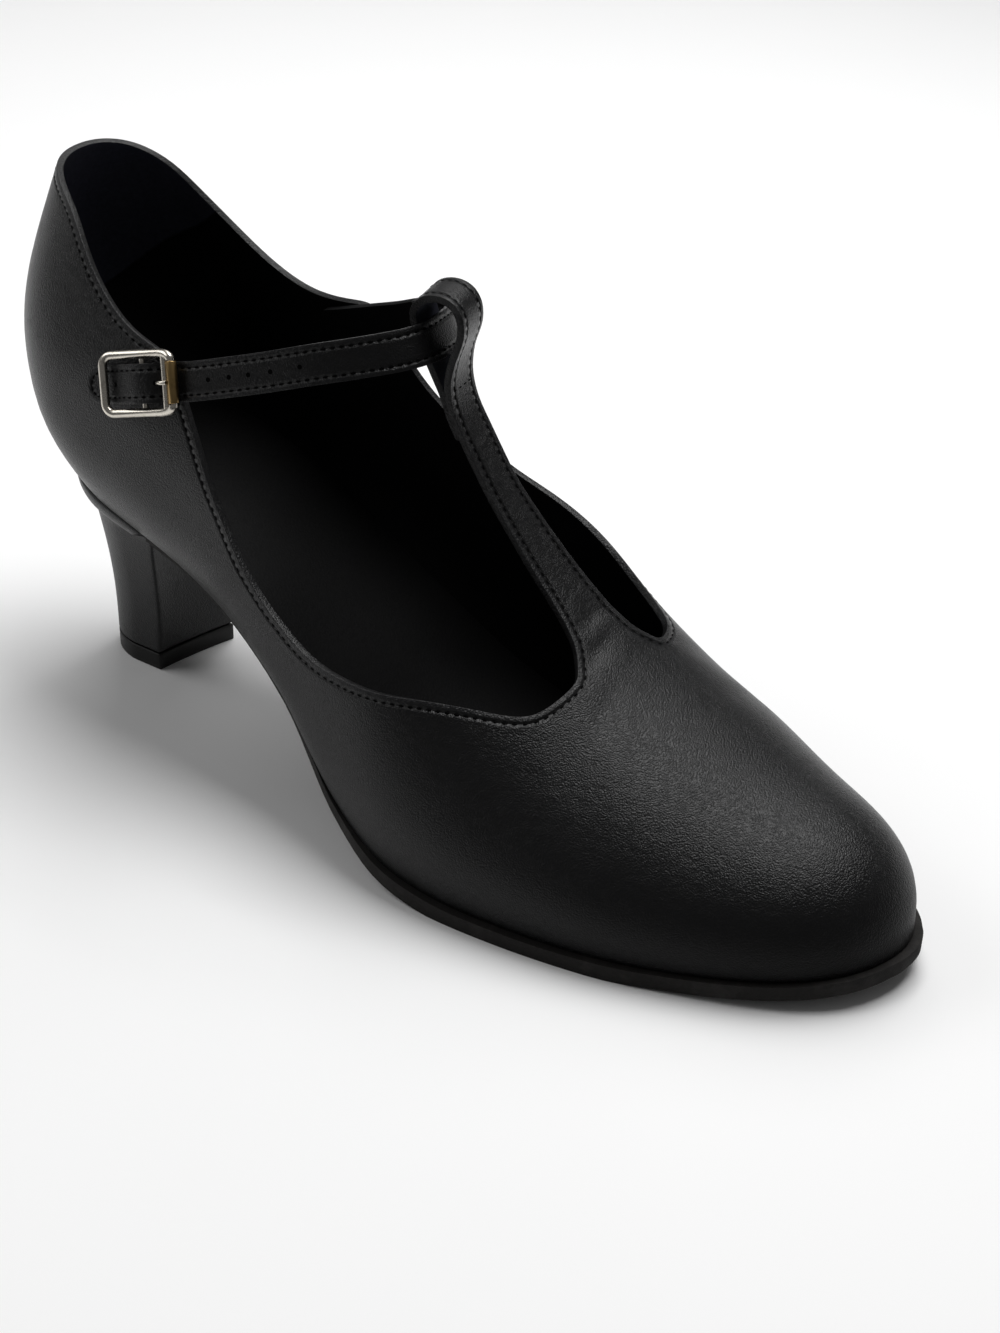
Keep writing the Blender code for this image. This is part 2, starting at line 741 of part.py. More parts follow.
# Buckle
def tube(name, points, radius, sides, closed=False, radii=None):
    # Round bar along a line, made from a bevelled curve
    curve = bpy.data.curves.new(name, 'CURVE')
    curve.dimensions = '3D'
    curve.bevel_depth = radius
    curve.bevel_resolution = sides // 4 - 1
    curve.use_fill_caps = not closed
    spline = curve.splines.new('POLY')
    spline.points.add(len(points) - 1)
    for i, p in enumerate(points):
        spline.points[i].co = (*p, 1.0)
        spline.points[i].radius = 1.0 if radii is None else radii[i]
    spline.use_cyclic_u = closed
    made = bpy.data.objects.new(name + "_line", curve)
    shoe.objects.link(made)
    bpy.context.view_layer.update()
    mesh = bpy.data.meshes.new_from_object(made.evaluated_get(bpy.context.evaluated_depsgraph_get()))
    bpy.data.objects.remove(made, do_unlink=True)
    bm = bmesh.new()
    bm.from_mesh(mesh)
    bmesh.ops.remove_doubles(bm, verts=bm.verts, dist=1e-6)
    bmesh.ops.recalc_face_normals(bm, faces=bm.faces)
    for face in bm.faces:
        face.smooth = len(face.verts) < 5
    bm.to_mesh(mesh)
    bm.free()
    return add_object(name, mesh, nickel, 0.22, 1.0)


def unite(obj, other):
    other_name = other.name
    shoe.objects.unlink(other)
    cutters.objects.link(other)
    other.hide_render = True
    other.display_type = 'WIRE'
    mod = obj.modifiers.new(other_name, 'BOOLEAN')
    mod.operation = 'UNION'
    mod.solver = 'EXACT'
    mod.object = other


def inner_bar_place():
    return frame_long / 2 - frame_bar - roller_inset


def frame_height(u):
    reach = frame_long / 2 - frame_bar
    frame_stand = gap + strap_thick + roller_radius + frame_clear
    return frame_stand - frame_bow * (1 - (u / reach)**2)


def build_buckle_frame():
    a = frame_long / 2 - frame_bar
    b = strap_width / 2 + frame_room
    c = frame_corner
    path = []
    radii = []
    for k in range(5):
        turn = math.pi / 2 + k * math.pi / 8
        path.append((-a + c + c * math.cos(turn), b - c + c * math.sin(turn)))
    for k in range(5):
        turn = math.pi + k * math.pi / 8
        path.append((-a + c + c * math.cos(turn), -b + c + c * math.sin(turn)))
    for u in np.linspace(-a + 1.8 * c, a - 1.6 * c, 5):
        path.append((u, -b))
    shoulder = [(a - 0.9 * c, -b * 0.97), (a - 0.25 * c, -b * 0.86), (a, -axle_half)]
    path = path + shoulder
    radii = [1.0] * (len(path) - 1) + [axle / frame_bar]
    path = path + [(a, axle_half)] + [(u, -v) for u, v in shoulder[1::-1]]
    radii = radii + [axle / frame_bar, 1.0, 1.0]
    for u in np.linspace(a - 1.6 * c, -a + 1.8 * c, 5):
        path.append((u, b))
        radii.append(1.0)
    points = [at_buckle(u, v, frame_height(u)) for u, v in path]
    obj = tube("buckle_frame", points, frame_bar, 8, True, radii)
    centre = tube("centre_bar", [at_buckle(0, v, centre_stand) for v in (-b, b)], centre_bar, 8)
    inside = inner_bar_place()
    near = tube("inner_bar", [at_buckle(inside, v, frame_height(inside)) for v in (-b, b)], inner_bar, 8)
    unite(obj, centre)
    unite(obj, near)
    return obj


def build_buckle_roller():
    a = frame_long / 2 - frame_bar
    half = axle_half - gap
    bpy.ops.mesh.primitive_cylinder_add(vertices=16, radius=roller_radius, depth=2 * half,
                                        end_fill_type='NOTHING', enter_editmode=False)
    made = bpy.context.object
    mesh = made.data
    bpy.data.objects.remove(made, do_unlink=True)
    p, along, across, out = buckle_frame_axes()
    place = Matrix([list(v) + [c] for v, c in zip(np.stack([along, out, across], 1),
                                                  at_buckle(a, 0, frame_height(a)))] + [[0, 0, 0, 1]])
    mesh.transform(place)
    mesh.name = "buckle_roller"
    for face in mesh.polygons:
        face.use_smooth = True
    obj = add_object("buckle_roller", mesh, brass, 0.25, 1.0)
    bm = bmesh.new()
    bm.from_mesh(mesh)
    bmesh.ops.recalc_face_normals(bm, faces=bm.faces)
    middle = Vector(at_buckle(a, 0, frame_height(a)))
    first = next(iter(bm.faces))
    if (first.calc_center_median() - middle).dot(first.normal) < 0:
        bmesh.ops.reverse_faces(bm, faces=bm.faces)
    bm.to_mesh(mesh)
    bm.free()
    solidify(obj, roller_radius - axle - gap * 0.5)
    return obj


def build_buckle_prong():
    ring = centre_bar + gap * 0.5 + prong_radius
    rows = []
    for k in range(9):
        turn = math.radians(140 + 190 * k / 8)
        rows.append((ring * math.cos(turn), centre_stand + ring * math.sin(turn)))
    rows = rows + [(u * inner_bar_place(), n) for u, n in prong_rows]
    fine = smooth_rows(rows, 2)
    return tube("buckle_prong", [at_buckle(u, 0, n) for u, n in fine], prong_radius, 8)


def build_buckle_tab():
    fine = smooth_rows(tab_rows, 2)
    cross = (-tab_width / 2, -tab_slot / 2, tab_slot / 2, tab_width / 2)
    verts = [at_buckle(u, v, n) for u, n in fine for v in cross]
    faces = []
    for face in band_faces(len(fine), 4):
        row, column = divmod(face[0], 4)
        near_bar = fine[row, 0] > -0.0022 or fine[row + 1, 0] > -0.0022
        if column != 1 or not near_bar:
            faces.append(face)
    obj = new_mesh("buckle_tab", verts, faces, black, 0.4, crease=70)
    solidify(obj, tab_thick, 0.0)
    return obj


built = [build_upper(), build_outsole(), build_insole(), build_heel(), build_top_lift(),
         build_ankle_strap(), build_buckle_frame(), build_buckle_roller(), build_buckle_prong(),
         build_buckle_tab()]

# Stand the shoe with its floor centre at the origin
bpy.context.view_layer.update()
graph = bpy.context.evaluated_depsgraph_get()
corners = []
for obj in built:
    shape = obj.evaluated_get(graph).to_mesh()
    corners.extend([v.co.copy() for v in shape.vertices])
    obj.evaluated_get(graph).to_mesh_clear()
low = Vector([min(c[i] for c in corners) for i in range(3)])
high = Vector([max(c[i] for c in corners) for i in range(3)])
frame_shift = Vector((-(low.x + high.x) / 2, -(low.y + high.y) / 2, 0.0))
for obj in list(shoe.objects) + list(cutters.objects):
    obj.data.transform(Matrix.Translation(frame_shift))
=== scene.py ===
import math
import bpy
import bmesh
import numpy as np
from mathutils import Matrix, Vector
from mathutils.bvhtree import BVHTree
from mathutils.kdtree import KDTree


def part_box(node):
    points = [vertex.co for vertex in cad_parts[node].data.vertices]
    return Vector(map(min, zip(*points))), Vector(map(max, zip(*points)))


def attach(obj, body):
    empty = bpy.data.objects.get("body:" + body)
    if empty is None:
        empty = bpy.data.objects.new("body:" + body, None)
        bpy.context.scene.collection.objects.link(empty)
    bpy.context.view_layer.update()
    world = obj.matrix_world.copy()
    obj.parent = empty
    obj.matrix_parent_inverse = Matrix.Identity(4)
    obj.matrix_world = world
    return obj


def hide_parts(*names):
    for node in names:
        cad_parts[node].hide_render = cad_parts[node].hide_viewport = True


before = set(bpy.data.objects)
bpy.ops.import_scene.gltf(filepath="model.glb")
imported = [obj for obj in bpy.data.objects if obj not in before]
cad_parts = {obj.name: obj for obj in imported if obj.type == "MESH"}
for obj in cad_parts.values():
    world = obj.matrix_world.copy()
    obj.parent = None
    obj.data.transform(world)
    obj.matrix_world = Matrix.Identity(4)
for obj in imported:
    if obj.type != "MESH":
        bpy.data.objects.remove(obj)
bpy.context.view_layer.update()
print("frame loaded")

# The last: every curved piece of the shoe is worked out from it
last = {
    "length": 0.2388, "ballWidth": 0.082, "heelHeight": 0.0585, "counterHeight": 0.066,
    "toeRound": 0.050, "toePower": 2.45, "toeRise": 0.026, "heelRound": 0.030, "heelPower": 2.1,
    "insetHeight": 0.018, "lean": 0.26, "leanFrom": 0.030, "leanOver": 0.048, "leanFade": 0.050,
    "leanEnd": 0.105, "gap": 0.0003,
    # station, sole line, outer side, inner side, ridge, shift, fullness, inset
    "plan": [
        (0.00, 1.040, .398, .360, 1.592, .000, 2.7, .0055),
        (0.08, .985, .408, .362, 1.574, .000, 2.7, .0055),
        (0.20, .885, .414, .362, 1.592, .000, 2.7, .0052),
        (0.30, .735, .415, .360, 1.592, .005, 2.9, .0056),
        (0.40, .490, .442, .372, 1.491, .010, 4.0, .0048),
        (0.50, .210, .512, .418, 1.245, .015, 6.0, .0030),
        (0.56, .114, .552, .446, 1.053, .018, 6.0, .0028),
        (0.62, .074, .556, .470, .854, .022, 5.0, .0028),
        (0.69, .066, .534, .488, .683, .032, 3.9, .0028),
        (0.78, .069, .480, .474, .543, .044, 3.2, .0028),
        (0.87, .085, .398, .415, .434, .055, 2.45, .0028),
        (0.94, .112, .358, .380, .380, .058, 2.3, .0028),
        (1.00, .145, .338, .350, .347, .058, 2.3, .0028)],
    # height share, set back from the counter
    "back": [(0.0, .0100), (0.1, .0062), (0.2, .0034), (0.4, .0003), (0.6, .0008), (0.8, .0035), (1.0, .0072),
             (1.4, .016)]}


def smoothTable(rows):
    # one smooth curve for each column after the first
    data = np.array(rows, float)
    x = data[:, 0]
    curves = []
    for column in range(1, data.shape[1]):
        y = data[:, column]
        d = np.diff(y) / np.diff(x)
        h = np.diff(x)
        m = np.empty_like(y)
        m[0] = d[0]
        m[-1] = d[-1]
        m[1:-1] = (d[:-1] * h[1:] + d[1:] * h[:-1]) / (h[1:] + h[:-1])

        def curve(q, x=x, y=y, m=m, h=h):
            q = np.clip(np.asarray(q, float), x[0], x[-1])
            i = np.clip(np.searchsorted(x, q, side='right') - 1, 0, len(x) - 2)
            t = (q - x[i]) / h[i]
            first = (2 * t**3 - 3 * t**2 + 1) * y[i] + (t**3 - 2 * t**2 + t) * h[i] * m[i]
            return first + (-2 * t**3 + 3 * t**2) * y[i + 1] + (t**3 - t**2) * h[i] * m[i + 1]
        curves.append(curve)
    return curves


def smoothRows(rows, cells):
    # a smooth run through the rows, each span cut into the same cells
    data = np.array(rows, float)
    out = []
    for i in range(len(data) - 1):
        p0, p1, p2, p3 = data[max(i - 1, 0)], data[i], data[i + 1], data[min(i + 2, len(data) - 1)]
        for k in range(cells):
            t = k / cells
            a = 2 * p1 + (p2 - p0) * t
            b = (2 * p0 - 5 * p1 + 4 * p2 - p3) * t * t
            out.append(0.5 * (a + b + (3 * p1 - p0 - 3 * p2 + p3) * t**3))
    out.append(data[-1])
    return np.array(out)


def runOf(points):
    # distance along a line of points
    return np.concatenate([[0], np.cumsum(np.linalg.norm(np.diff(points, axis=0), axis=1))])


soleShare, outerShare, innerShare, ridgeShare, shiftShare, fullness, insetOf = smoothTable(last["plan"])
backOf, = smoothTable(last["back"])
length = last["length"]


def roundOff(u, power):
    u = np.clip(u, 0, 1)
    return (1 - (1 - u)**power)**(1 / power)


def smoothStep(u):
    u = np.clip(u, 0, 1)
    return u * u * (3 - 2 * u)


def soleLine(x):
    return soleShare(x / length) * last["heelHeight"]


def levelAt(station, share):
    return float(soleLine(station * length)) + share * last["counterHeight"]


def shiftAt(x):
    return shiftShare(x / length) * last["ballWidth"]


def ridgeAt(x):
    return ridgeShare(x / length) * last["counterHeight"] * roundOff((length - x) / last["toeRise"], last["toePower"])


def backAt(h):
    return backOf(h / last["counterHeight"])


def sidePower(x, side):
    return np.where(side < 0, 2.3, fullness(x / length))


def fullWidth(x, h, side):
    share = np.where(side < 0, outerShare(x / length), innerShare(x / length)) * last["ballWidth"]
    w = (share - side * shiftAt(x)) * roundOff((length - x) / last["toeRound"], last["toePower"])
    return w * roundOff((x - backAt(h)) / last["heelRound"], last["heelPower"])


def halfWidth(x, h, side):
    w = fullWidth(x, h, side)
    e = np.clip(h / np.maximum(ridgeAt(x), 1e-9), 0, 1)
    profile = np.sqrt(1 - e**sidePower(x, side))
    low = np.clip(1 - h / last["insetHeight"], 0, 1)
    fade = np.clip((last["leanEnd"] - x) / last["leanFade"], 0, 1)
    tilt = 1 - last["lean"] * fade * smoothStep((h - last["leanFrom"]) / last["leanOver"])
    tucked = w - insetOf(x / length) * low**2 * np.clip(w / 0.01, 0, 1)
    return np.maximum(tucked, 0) * profile * tilt


def outsidePoint(x, h, side):
    y = shiftAt(x) + side * halfWidth(x, h, side)
    return np.stack(np.broadcast_arrays(x, y, soleLine(x) + h), -1)


def topAt(x, y):
    # height of the instep surface over a place in plan
    off = y - shiftAt(x)
    side = np.where(off < 0, -1.0, 1.0)
    w = fullWidth(x, 1.0, side)
    e = (1 - np.clip(np.abs(off) / w, 0, 1)**2)**(1 / sidePower(x, side))
    return soleLine(x) + e * ridgeAt(x)


def isInside(p):
    x = np.clip(p[..., 0], 0, length)
    h = p[..., 2] - soleLine(x)
    off = p[..., 1] - shiftAt(x)
    side = np.where(off < 0, -1.0, 1.0)
    room = halfWidth(x, np.maximum(h, 0), side)
    return (p[..., 0] > 0) & (p[..., 0] < length) & (h < ridgeAt(x)) & (np.abs(off) < room)


def edgeLine(side, count=600):
    # the line where upper and sole meet
    x = length * 0.5 * (1 - np.cos(np.linspace(0, math.pi, count)))
    x = np.clip(x, backAt(0.0) + 1e-6, length)
    p = outsidePoint(x, np.zeros_like(x), side)
    run = runOf(p)
    return run / run[-1], p


def edgePoint(side, share):
    run, p = edgeLine(side)
    return np.stack([np.interp(share, run, p[:, i]) for i in range(3)], -1)


def surfaceFrame(x, z, side):
    # point of the quarter with its outward and upward ways
    h = z - soleLine(x)
    p = outsidePoint(x, h, side)
    px = outsidePoint(x + 0.001, h, side) - outsidePoint(x - 0.001, h, side)
    ph = outsidePoint(x, h + 0.001, side) - outsidePoint(x, h - 0.001, side)
    out = np.cross(px, ph) * (1 if side < 0 else -1)
    out = out / np.linalg.norm(out)
    up = np.array([0, 0, 1.0]) - out * out[2]
    return p, out, up / np.linalg.norm(up)


# Scene helpers
floorShift = np.zeros(3)


def selectOnly(obj):
    bpy.ops.object.select_all(action='DESELECT')
    obj.select_set(True)
    bpy.context.view_layer.objects.active = obj


def meshPiece(name, verts, faces, clean=True):
    # a mesh from rows of points, moved from the last to the floor's middle
    mesh = bpy.data.meshes.new(name)
    mesh.from_pydata([tuple(float(c) for c in np.asarray(v) + floorShift) for v in verts], [], faces)
    obj = bpy.data.objects.new(name, mesh)
    bpy.context.scene.collection.objects.link(obj)
    if clean:
        bm = bmesh.new()
        bm.from_mesh(mesh)
        bmesh.ops.remove_doubles(bm, verts=bm.verts, dist=1e-6)
        bmesh.ops.dissolve_degenerate(bm, edges=bm.edges, dist=1e-7)
        bmesh.ops.recalc_face_normals(bm, faces=bm.faces)
        if all(e.is_manifold for e in bm.edges) and bm.calc_volume(signed=True) < 0:
            bmesh.ops.reverse_faces(bm, faces=bm.faces)
        bm.to_mesh(mesh)
        bm.free()
    return obj


def gridFaces(rows, columns, loop=False, start=0):
    faces = []
    for r in range(rows - 1):
        for c in range(columns if loop else columns - 1):
            d = (c + 1) % columns
            faces.append((start + r * columns + c, start + r * columns + d,
                          start + (r + 1) * columns + d, start + (r + 1) * columns + c))
    return faces


def addModifier(obj, kind, **values):
    # a modifier with its values, applied at once
    mod = obj.modifiers.new(kind.lower(), kind)
    for key, value in values.items():
        setattr(mod, key, value)
    selectOnly(obj)
    bpy.ops.object.modifier_apply(modifier=mod.name)


def subdivide(obj, levels):
    addModifier(obj, 'SUBSURF', levels=levels, render_levels=levels)


def smoothShade(obj, degrees):
    selectOnly(obj)
    bpy.ops.object.shade_smooth_by_angle(angle=math.radians(degrees))


def joined(name, parts):
    bpy.ops.object.select_all(action='DESELECT')
    for part in parts:
        part.select_set(True)
    bpy.context.view_layer.objects.active = parts[0]
    bpy.ops.object.join()
    parts[0].name = name
    parts[0].data.name = name
    return parts[0]


def keep(obj, slotName, *nodes):
    # every piece rides on the shoe's one body
    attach(obj, "root")
    if nodes:
        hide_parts(*nodes)


def setAttribute(obj, name, values):
    layer = obj.data.attributes.new(name, 'FLOAT', 'POINT')
    layer.data.foreach_set("value", np.asarray(values, np.float32))


def coords(obj):
    co = np.empty(len(obj.data.vertices) * 3, np.float64)
    obj.data.vertices.foreach_get("co", co)
    return co.reshape(-1, 3)


def tube(name, points, radius, sides, closed, radii):
    # round bar along a line, a bevelled curve made a mesh
    curve = bpy.data.curves.new(name, 'CURVE')
    curve.dimensions = '3D'
    curve.bevel_depth = radius
    curve.bevel_resolution = sides // 4 - 1
    curve.use_fill_caps = not closed
    spline = curve.splines.new('POLY')
    spline.points.add(len(points) - 1)
    for i, p in enumerate(points):
        spline.points[i].co = (*(np.asarray(p) + floorShift), 1.0)
        spline.points[i].radius = 1.0 if radii is None else radii[i]
    spline.use_cyclic_u = closed
    obj = bpy.data.objects.new(name, curve)
    bpy.context.scene.collection.objects.link(obj)
    selectOnly(obj)
    bpy.ops.object.convert(target='MESH')
    return bpy.context.object


# Upper
upperSizes = {
    "wall": 0.0016, "rimRound": 0.00045, "rowCells": 13, "rootCells": 12, "barWidth": 0.0104,
    "barTurn": math.radians(17), "stitchIn": 0.0017, "stitchPitch": 0.0020,
    # the point inside the last that each column turns about, and how finely the surface is found from it
    "centreFrom": 0.035, "centreTo": 0.190, "centreHeight": 0.012, "reach": 0.20, "halvings": 34, "probes": 41,
    # row of the fold where its end is sewn down, the stitches there, their half width and slant
    "foldRow": 6, "foldStitches": 4, "foldHalf": 0.0031, "foldSlant": 0.6,
    # heights are shares of the counter height above the sole line: station, height share, share of the edge
    "outerTop": [
        (.035, 1.010, .032), (.045, 1.009, .048), (.060, 1.005, .066), (.088, .998, .098), (.115, .970, .128),
        (.140, .893, .155), (.166, .823, .184), (.197, .772, .218), (.224, .762, .247),
        (.250, .775, .275), (.270, .755, .297), (.286, .700, .315), (.310, .598, .342),
        (.332, .495, .367), (.358, .414, .396), (.395, .362, .432), (.425, .385, .462),
        (.452, .416, .488), (.480, .470, .516), (.506, .521, .542), (.530, .562, .567),
        (.551, .594, .591), (.573, .622, .617), (.594, .637, .643), (.614, .640, .670),
        (.632, .638, .698), (.648, .630, .727), (.661, .626, .757), (.674, .627, .788)],
    "innerTop": [
        (.035, 1.011, .032), (.046, 1.005, .050), (.060, .989, .070), (.081, .946, .094), (.100, .860, .120),
        (.127, .776, .150), (.164, .705, .190), (.202, .679, .230), (.240, .702, .268),
        (.281, .779, .303), (.305, .840, .326), (.322, .860, .344), (.338, .815, .362),
        (.357, .735, .382), (.386, .702, .412), (.425, .700, .452), (.462, .720, .490),
        (.491, .752, .520), (.518, .769, .548), (.545, .770, .577), (.570, .755, .606),
        (.592, .730, .635), (.614, .700, .667), (.638, .668, .702), (.660, .646, .740),
        (.677, .636, .780)],
    # outer edge station and side, inner edge station and side, in shares
    "rootRow": (.681, -.135, .690, .212),
    "barRows": [(.668, -.082, .678, .172), (.652, -.050, .664, .150), (.628, -.032, .640, .138),
                (.600, -.028, .608, .124), (.570, -.028, .574, .104), (.545, -.028, .546, .090)],
    # the strip and its fold over the ankle strap
    "barPath": [(.5320, 1.1623), (.5170, 1.2050), (.5050, 1.2516), (.4990, 1.3075), (.4985, 1.3657),
                (.5025, 1.4396), (.5095, 1.5199), (.5095, 1.5851), (.4995, 1.6160), (.4805, 1.5885),
                (.4590, 1.5079), (.4475, 1.4167), (.4535, 1.3661), (.4630, 1.3289), (.4735, 1.2901),
                (.4840, 1.2541), (.4920, 1.2014), (.5040, 1.1559)]}
# soft creases of the worn leather: station, height share, side, length, width, depth, turn
creases = [
    (.648, .780, .030, .0115, .0022, -.00050, 0.15), (.659, .760, .000, .0090, .0020, .00012, 0.2),
    (.672, .730, -.045, .0120, .0025, -.00055, 0.25), (.690, .700, -.080, .0120, .0026, .00012, 0.5),
    (.694, .680, .110, .0130, .0026, -.00028, -0.5), (.710, .640, -.170, .0150, .0024, -.00025, 0.9),
    (.760, .540, .240, .0200, .0030, -.00020, -1.0), (.300, .300, -.600, .0300, .0045, -.00035, 0.5),
    (.340, .240, -.600, .0300, .0050, .00030, 0.6), (.130, .330, -.600, .0240, .0060, -.00025, 1.3),
    (.450, .200, -.600, .0300, .0050, -.00025, 0.4), (.640, .420, .600, .0200, .0035, -.00030, 0.8)]


def sideRun(rows, side):
    fine = np.array(rows)
    return outsidePoint(fine[:, 0] * length, fine[:, 1] * last["counterHeight"], side), edgePoint(side, fine[:, 2])


def rootRun():
    v = np.linspace(0, 1, upperSizes["rootCells"] + 1)
    row = upperSizes["rootRow"]
    x = (row[0] + (row[2] - row[0]) * v) * length + 0.006 * last["ballWidth"] * np.sin(math.pi * v)
    y = (row[1] + (row[3] - row[1]) * v) * last["ballWidth"]
    turn = np.interp(v, [0, 0.5, 1], [0.820, 1.0, 1.185])
    edges = [edgePoint(-1, t) if t <= 1 else edgePoint(1, 2 - t) for t in turn]
    return np.stack([x, y, topAt(x, y)], -1), np.array(edges)


def upperColumns():
    h = last["counterHeight"] * 1.010
    x = backAt(h) + 1e-5
    seamTop = np.array([x, 0.0, soleLine(x) + h])
    seamFoot = edgePoint(-1, 0.0)
    seamFoot[1] = 0.0
    outerTop, outerFoot = sideRun(upperSizes["outerTop"], -1)
    innerTop, innerFoot = sideRun(upperSizes["innerTop"], 1)
    midTop, midFoot = rootRun()
    tops = np.concatenate([[seamTop], outerTop, midTop, innerTop[::-1]])
    feet = np.concatenate([[seamFoot], outerFoot, midFoot, innerFoot[::-1]])
    return tops, feet, 1 + len(outerTop)


def upperGrid(tops, feet, cells):
    # each column follows the last in the plane of its two ends and a point inside it
    cx = np.clip(0.5 * (tops[:, 0] + feet[:, 0]), upperSizes["centreFrom"], upperSizes["centreTo"])
    centre = np.stack([cx, shiftAt(cx), soleLine(cx) + upperSizes["centreHeight"]], -1)
    a = (feet - centre) / np.linalg.norm(feet - centre, axis=1, keepdims=True)
    b = (tops - centre) / np.linalg.norm(tops - centre, axis=1, keepdims=True)
    angle = np.arccos(np.clip((a * b).sum(1), -1, 1))[:, None]

    def at(t):
        way = (np.sin((1 - t) * angle) * a + np.sin(t * angle) * b) / np.sin(angle)
        near, far = np.zeros_like(t), np.full_like(t, upperSizes["reach"])
        for step in range(upperSizes["halvings"]):
            middle = 0.5 * (near + far)
            held = isInside(centre + way * middle)[:, None]
            near, far = np.where(held, middle, near), np.where(held, far, middle)
        return centre + way * near

    count = len(tops)
    probe = np.linspace(0, 1, upperSizes["probes"])
    path = np.stack([at(np.full((count, 1), t)) for t in probe[1:-1]])
    path = np.concatenate([feet[None], path, tops[None]])
    steps = np.cumsum(np.linalg.norm(np.diff(path, axis=0), axis=2), axis=0)
    run = np.concatenate([np.zeros((1, count)), steps])
    rows = [feet]
    for k in range(1, cells):
        goal = run[-1] * k / cells
        t = np.array([np.interp(goal[i], run[:, i], probe) for i in range(count)])[:, None]
        rows.append(at(t))
    rows.append(tops)
    return np.array(rows)


def barLine():
    # the strip's line in side view
    return smoothRows([(s * length, levelAt(s, share)) for s, share in upperSizes["barPath"]], 2)


def barGrid(root):
    # the strip grows out of the vamp, runs up the instep and folds over the ankle strap
    v = np.linspace(0, 1, upperSizes["rootCells"] + 1)
    rows = [root]
    for outer, outerY, inner, innerY in smoothRows([upperSizes["rootRow"]] + upperSizes["barRows"], 2)[1:]:
        x = (outer + (inner - outer) * v) * length
        y = (outerY + (innerY - outerY) * v) * last["ballWidth"]
        rows.append(np.stack([x, y, topAt(x, y)], -1))
    dome = rows[-1][:, 2] - rows[-1][:, 2].max()
    midY = rows[-1][0, 1] + 0.5 * upperSizes["barWidth"]
    side = (v - 0.5) * upperSizes["barWidth"]
    path = barLine()
    way = np.gradient(path, axis=0)
    way = way / np.linalg.norm(way, axis=1, keepdims=True)
    for i in range(2, len(path)):
        out = np.array([way[i, 1], -way[i, 0]])
        bend = dome * max(0.0, 1 - i / 8)
        x = path[i, 0] + bend * out[0] - side * math.tan(upperSizes["barTurn"]) * min(1.0, i / 10)
        rows.append(np.stack([x, midY + side, path[i, 1] + bend * out[1]], -1))
    return np.array(rows)


def upperSheet():
    tops, feet, firstRoot = upperColumns()
    grid = upperGrid(tops, feet, upperSizes["rowCells"])
    rows, count = grid.shape[:2]
    verts = list(grid.reshape(-1, 3))
    faces = gridFaces(rows, count, True)
    below = [(rows - 1) * count + firstRoot + k for k in range(upperSizes["rootCells"] + 1)]
    for row in barGrid(tops[firstRoot:firstRoot + upperSizes["rootCells"] + 1])[1:]:
        here = list(range(len(verts), len(verts) + len(row)))
        verts.extend(row)
        faces.extend([(below[k], below[k + 1], here[k + 1], here[k]) for k in range(upperSizes["rootCells"])])
        below = here
    return np.array(verts), faces


def boundaryLoops(obj):
    # open edges of a sheet, chained into closed loops of points
    bm = bmesh.new()
    bm.from_mesh(obj.data)
    links = {}
    for edge in bm.edges:
        if edge.is_boundary:
            a, b = edge.verts[0].index, edge.verts[1].index
            links.setdefault(a, []).append(b)
            links.setdefault(b, []).append(a)
    points = coords(obj)
    loops = []
    left = set(links)
    while left:
        start = min(left)
        chain = [start]
        left.discard(start)
        while True:
            onward = [n for n in links[chain[-1]] if n in left]
            if not onward:
                break
            chain.append(onward[0])
            left.discard(onward[0])
        loops.append(points[chain])
    bm.free()
    return loops


def evenRun(points, step):
    # points round a closed line at an even step
    points = np.concatenate([points, points[:1]])
    run = runOf(points)
    count = max(2, int(round(run[-1] / step)))
    at = np.linspace(0, run[-1], count + 1)[:-1]
    return np.stack([np.interp(at, run, points[:, i]) for i in range(3)], -1)


def treeOf(points):
    tree = KDTree(len(points))
    for i, p in enumerate(points):
        tree.insert(p, i)
    tree.balance()
    return tree


def markDistance(obj, line, step=0.0004):
    # distance of every point of a sheet from its rim
    tree = treeOf(evenRun(line, step))
    setAttribute(obj, "rimDistance", [tree.find(p)[2] for p in coords(obj)])


def creaseShape(obj, rows):
    # soft troughs and ridges laid on the last
    points = coords(obj)
    normals = np.array([v.normal for v in obj.data.vertices])
    move = np.zeros(len(points))
    for station, share, side, long, wide, depth, turn in rows:
        x = np.array([station * length])
        if abs(side) < 0.5:
            y = shiftAt(x) + side * last["ballWidth"]
            middle = np.array([x[0], y[0], topAt(x, y)[0]])
        else:
            middle = outsidePoint(x, np.array([share * last["counterHeight"]]), -1.0 if side < 0 else 1.0)[0]
        middle = middle + floorShift
        off = points - middle
        nearest = np.argmin((off**2).sum(1))
        n = normals[nearest]
        level = np.cross([0, 0, 1.0], n)
        level = level / np.linalg.norm(level)
        rise = np.cross(n, level)
        along = off @ (level * math.cos(turn) + rise * math.sin(turn))
        across = off @ (rise * math.cos(turn) - level * math.sin(turn))
        facing = np.clip(normals @ n, 0, 1)
        bow = across + 0.12 * along**2 / max(long, 1e-6)
        shape = np.exp(-(along / (0.5 * long))**2 - (bow / wide)**2)
        move += depth * shape * facing * (np.abs(off @ n) < 0.012)
    points = points + normals * move[:, None]
    obj.data.vertices.foreach_set("co", points.astype(np.float32).ravel())
    obj.data.update()


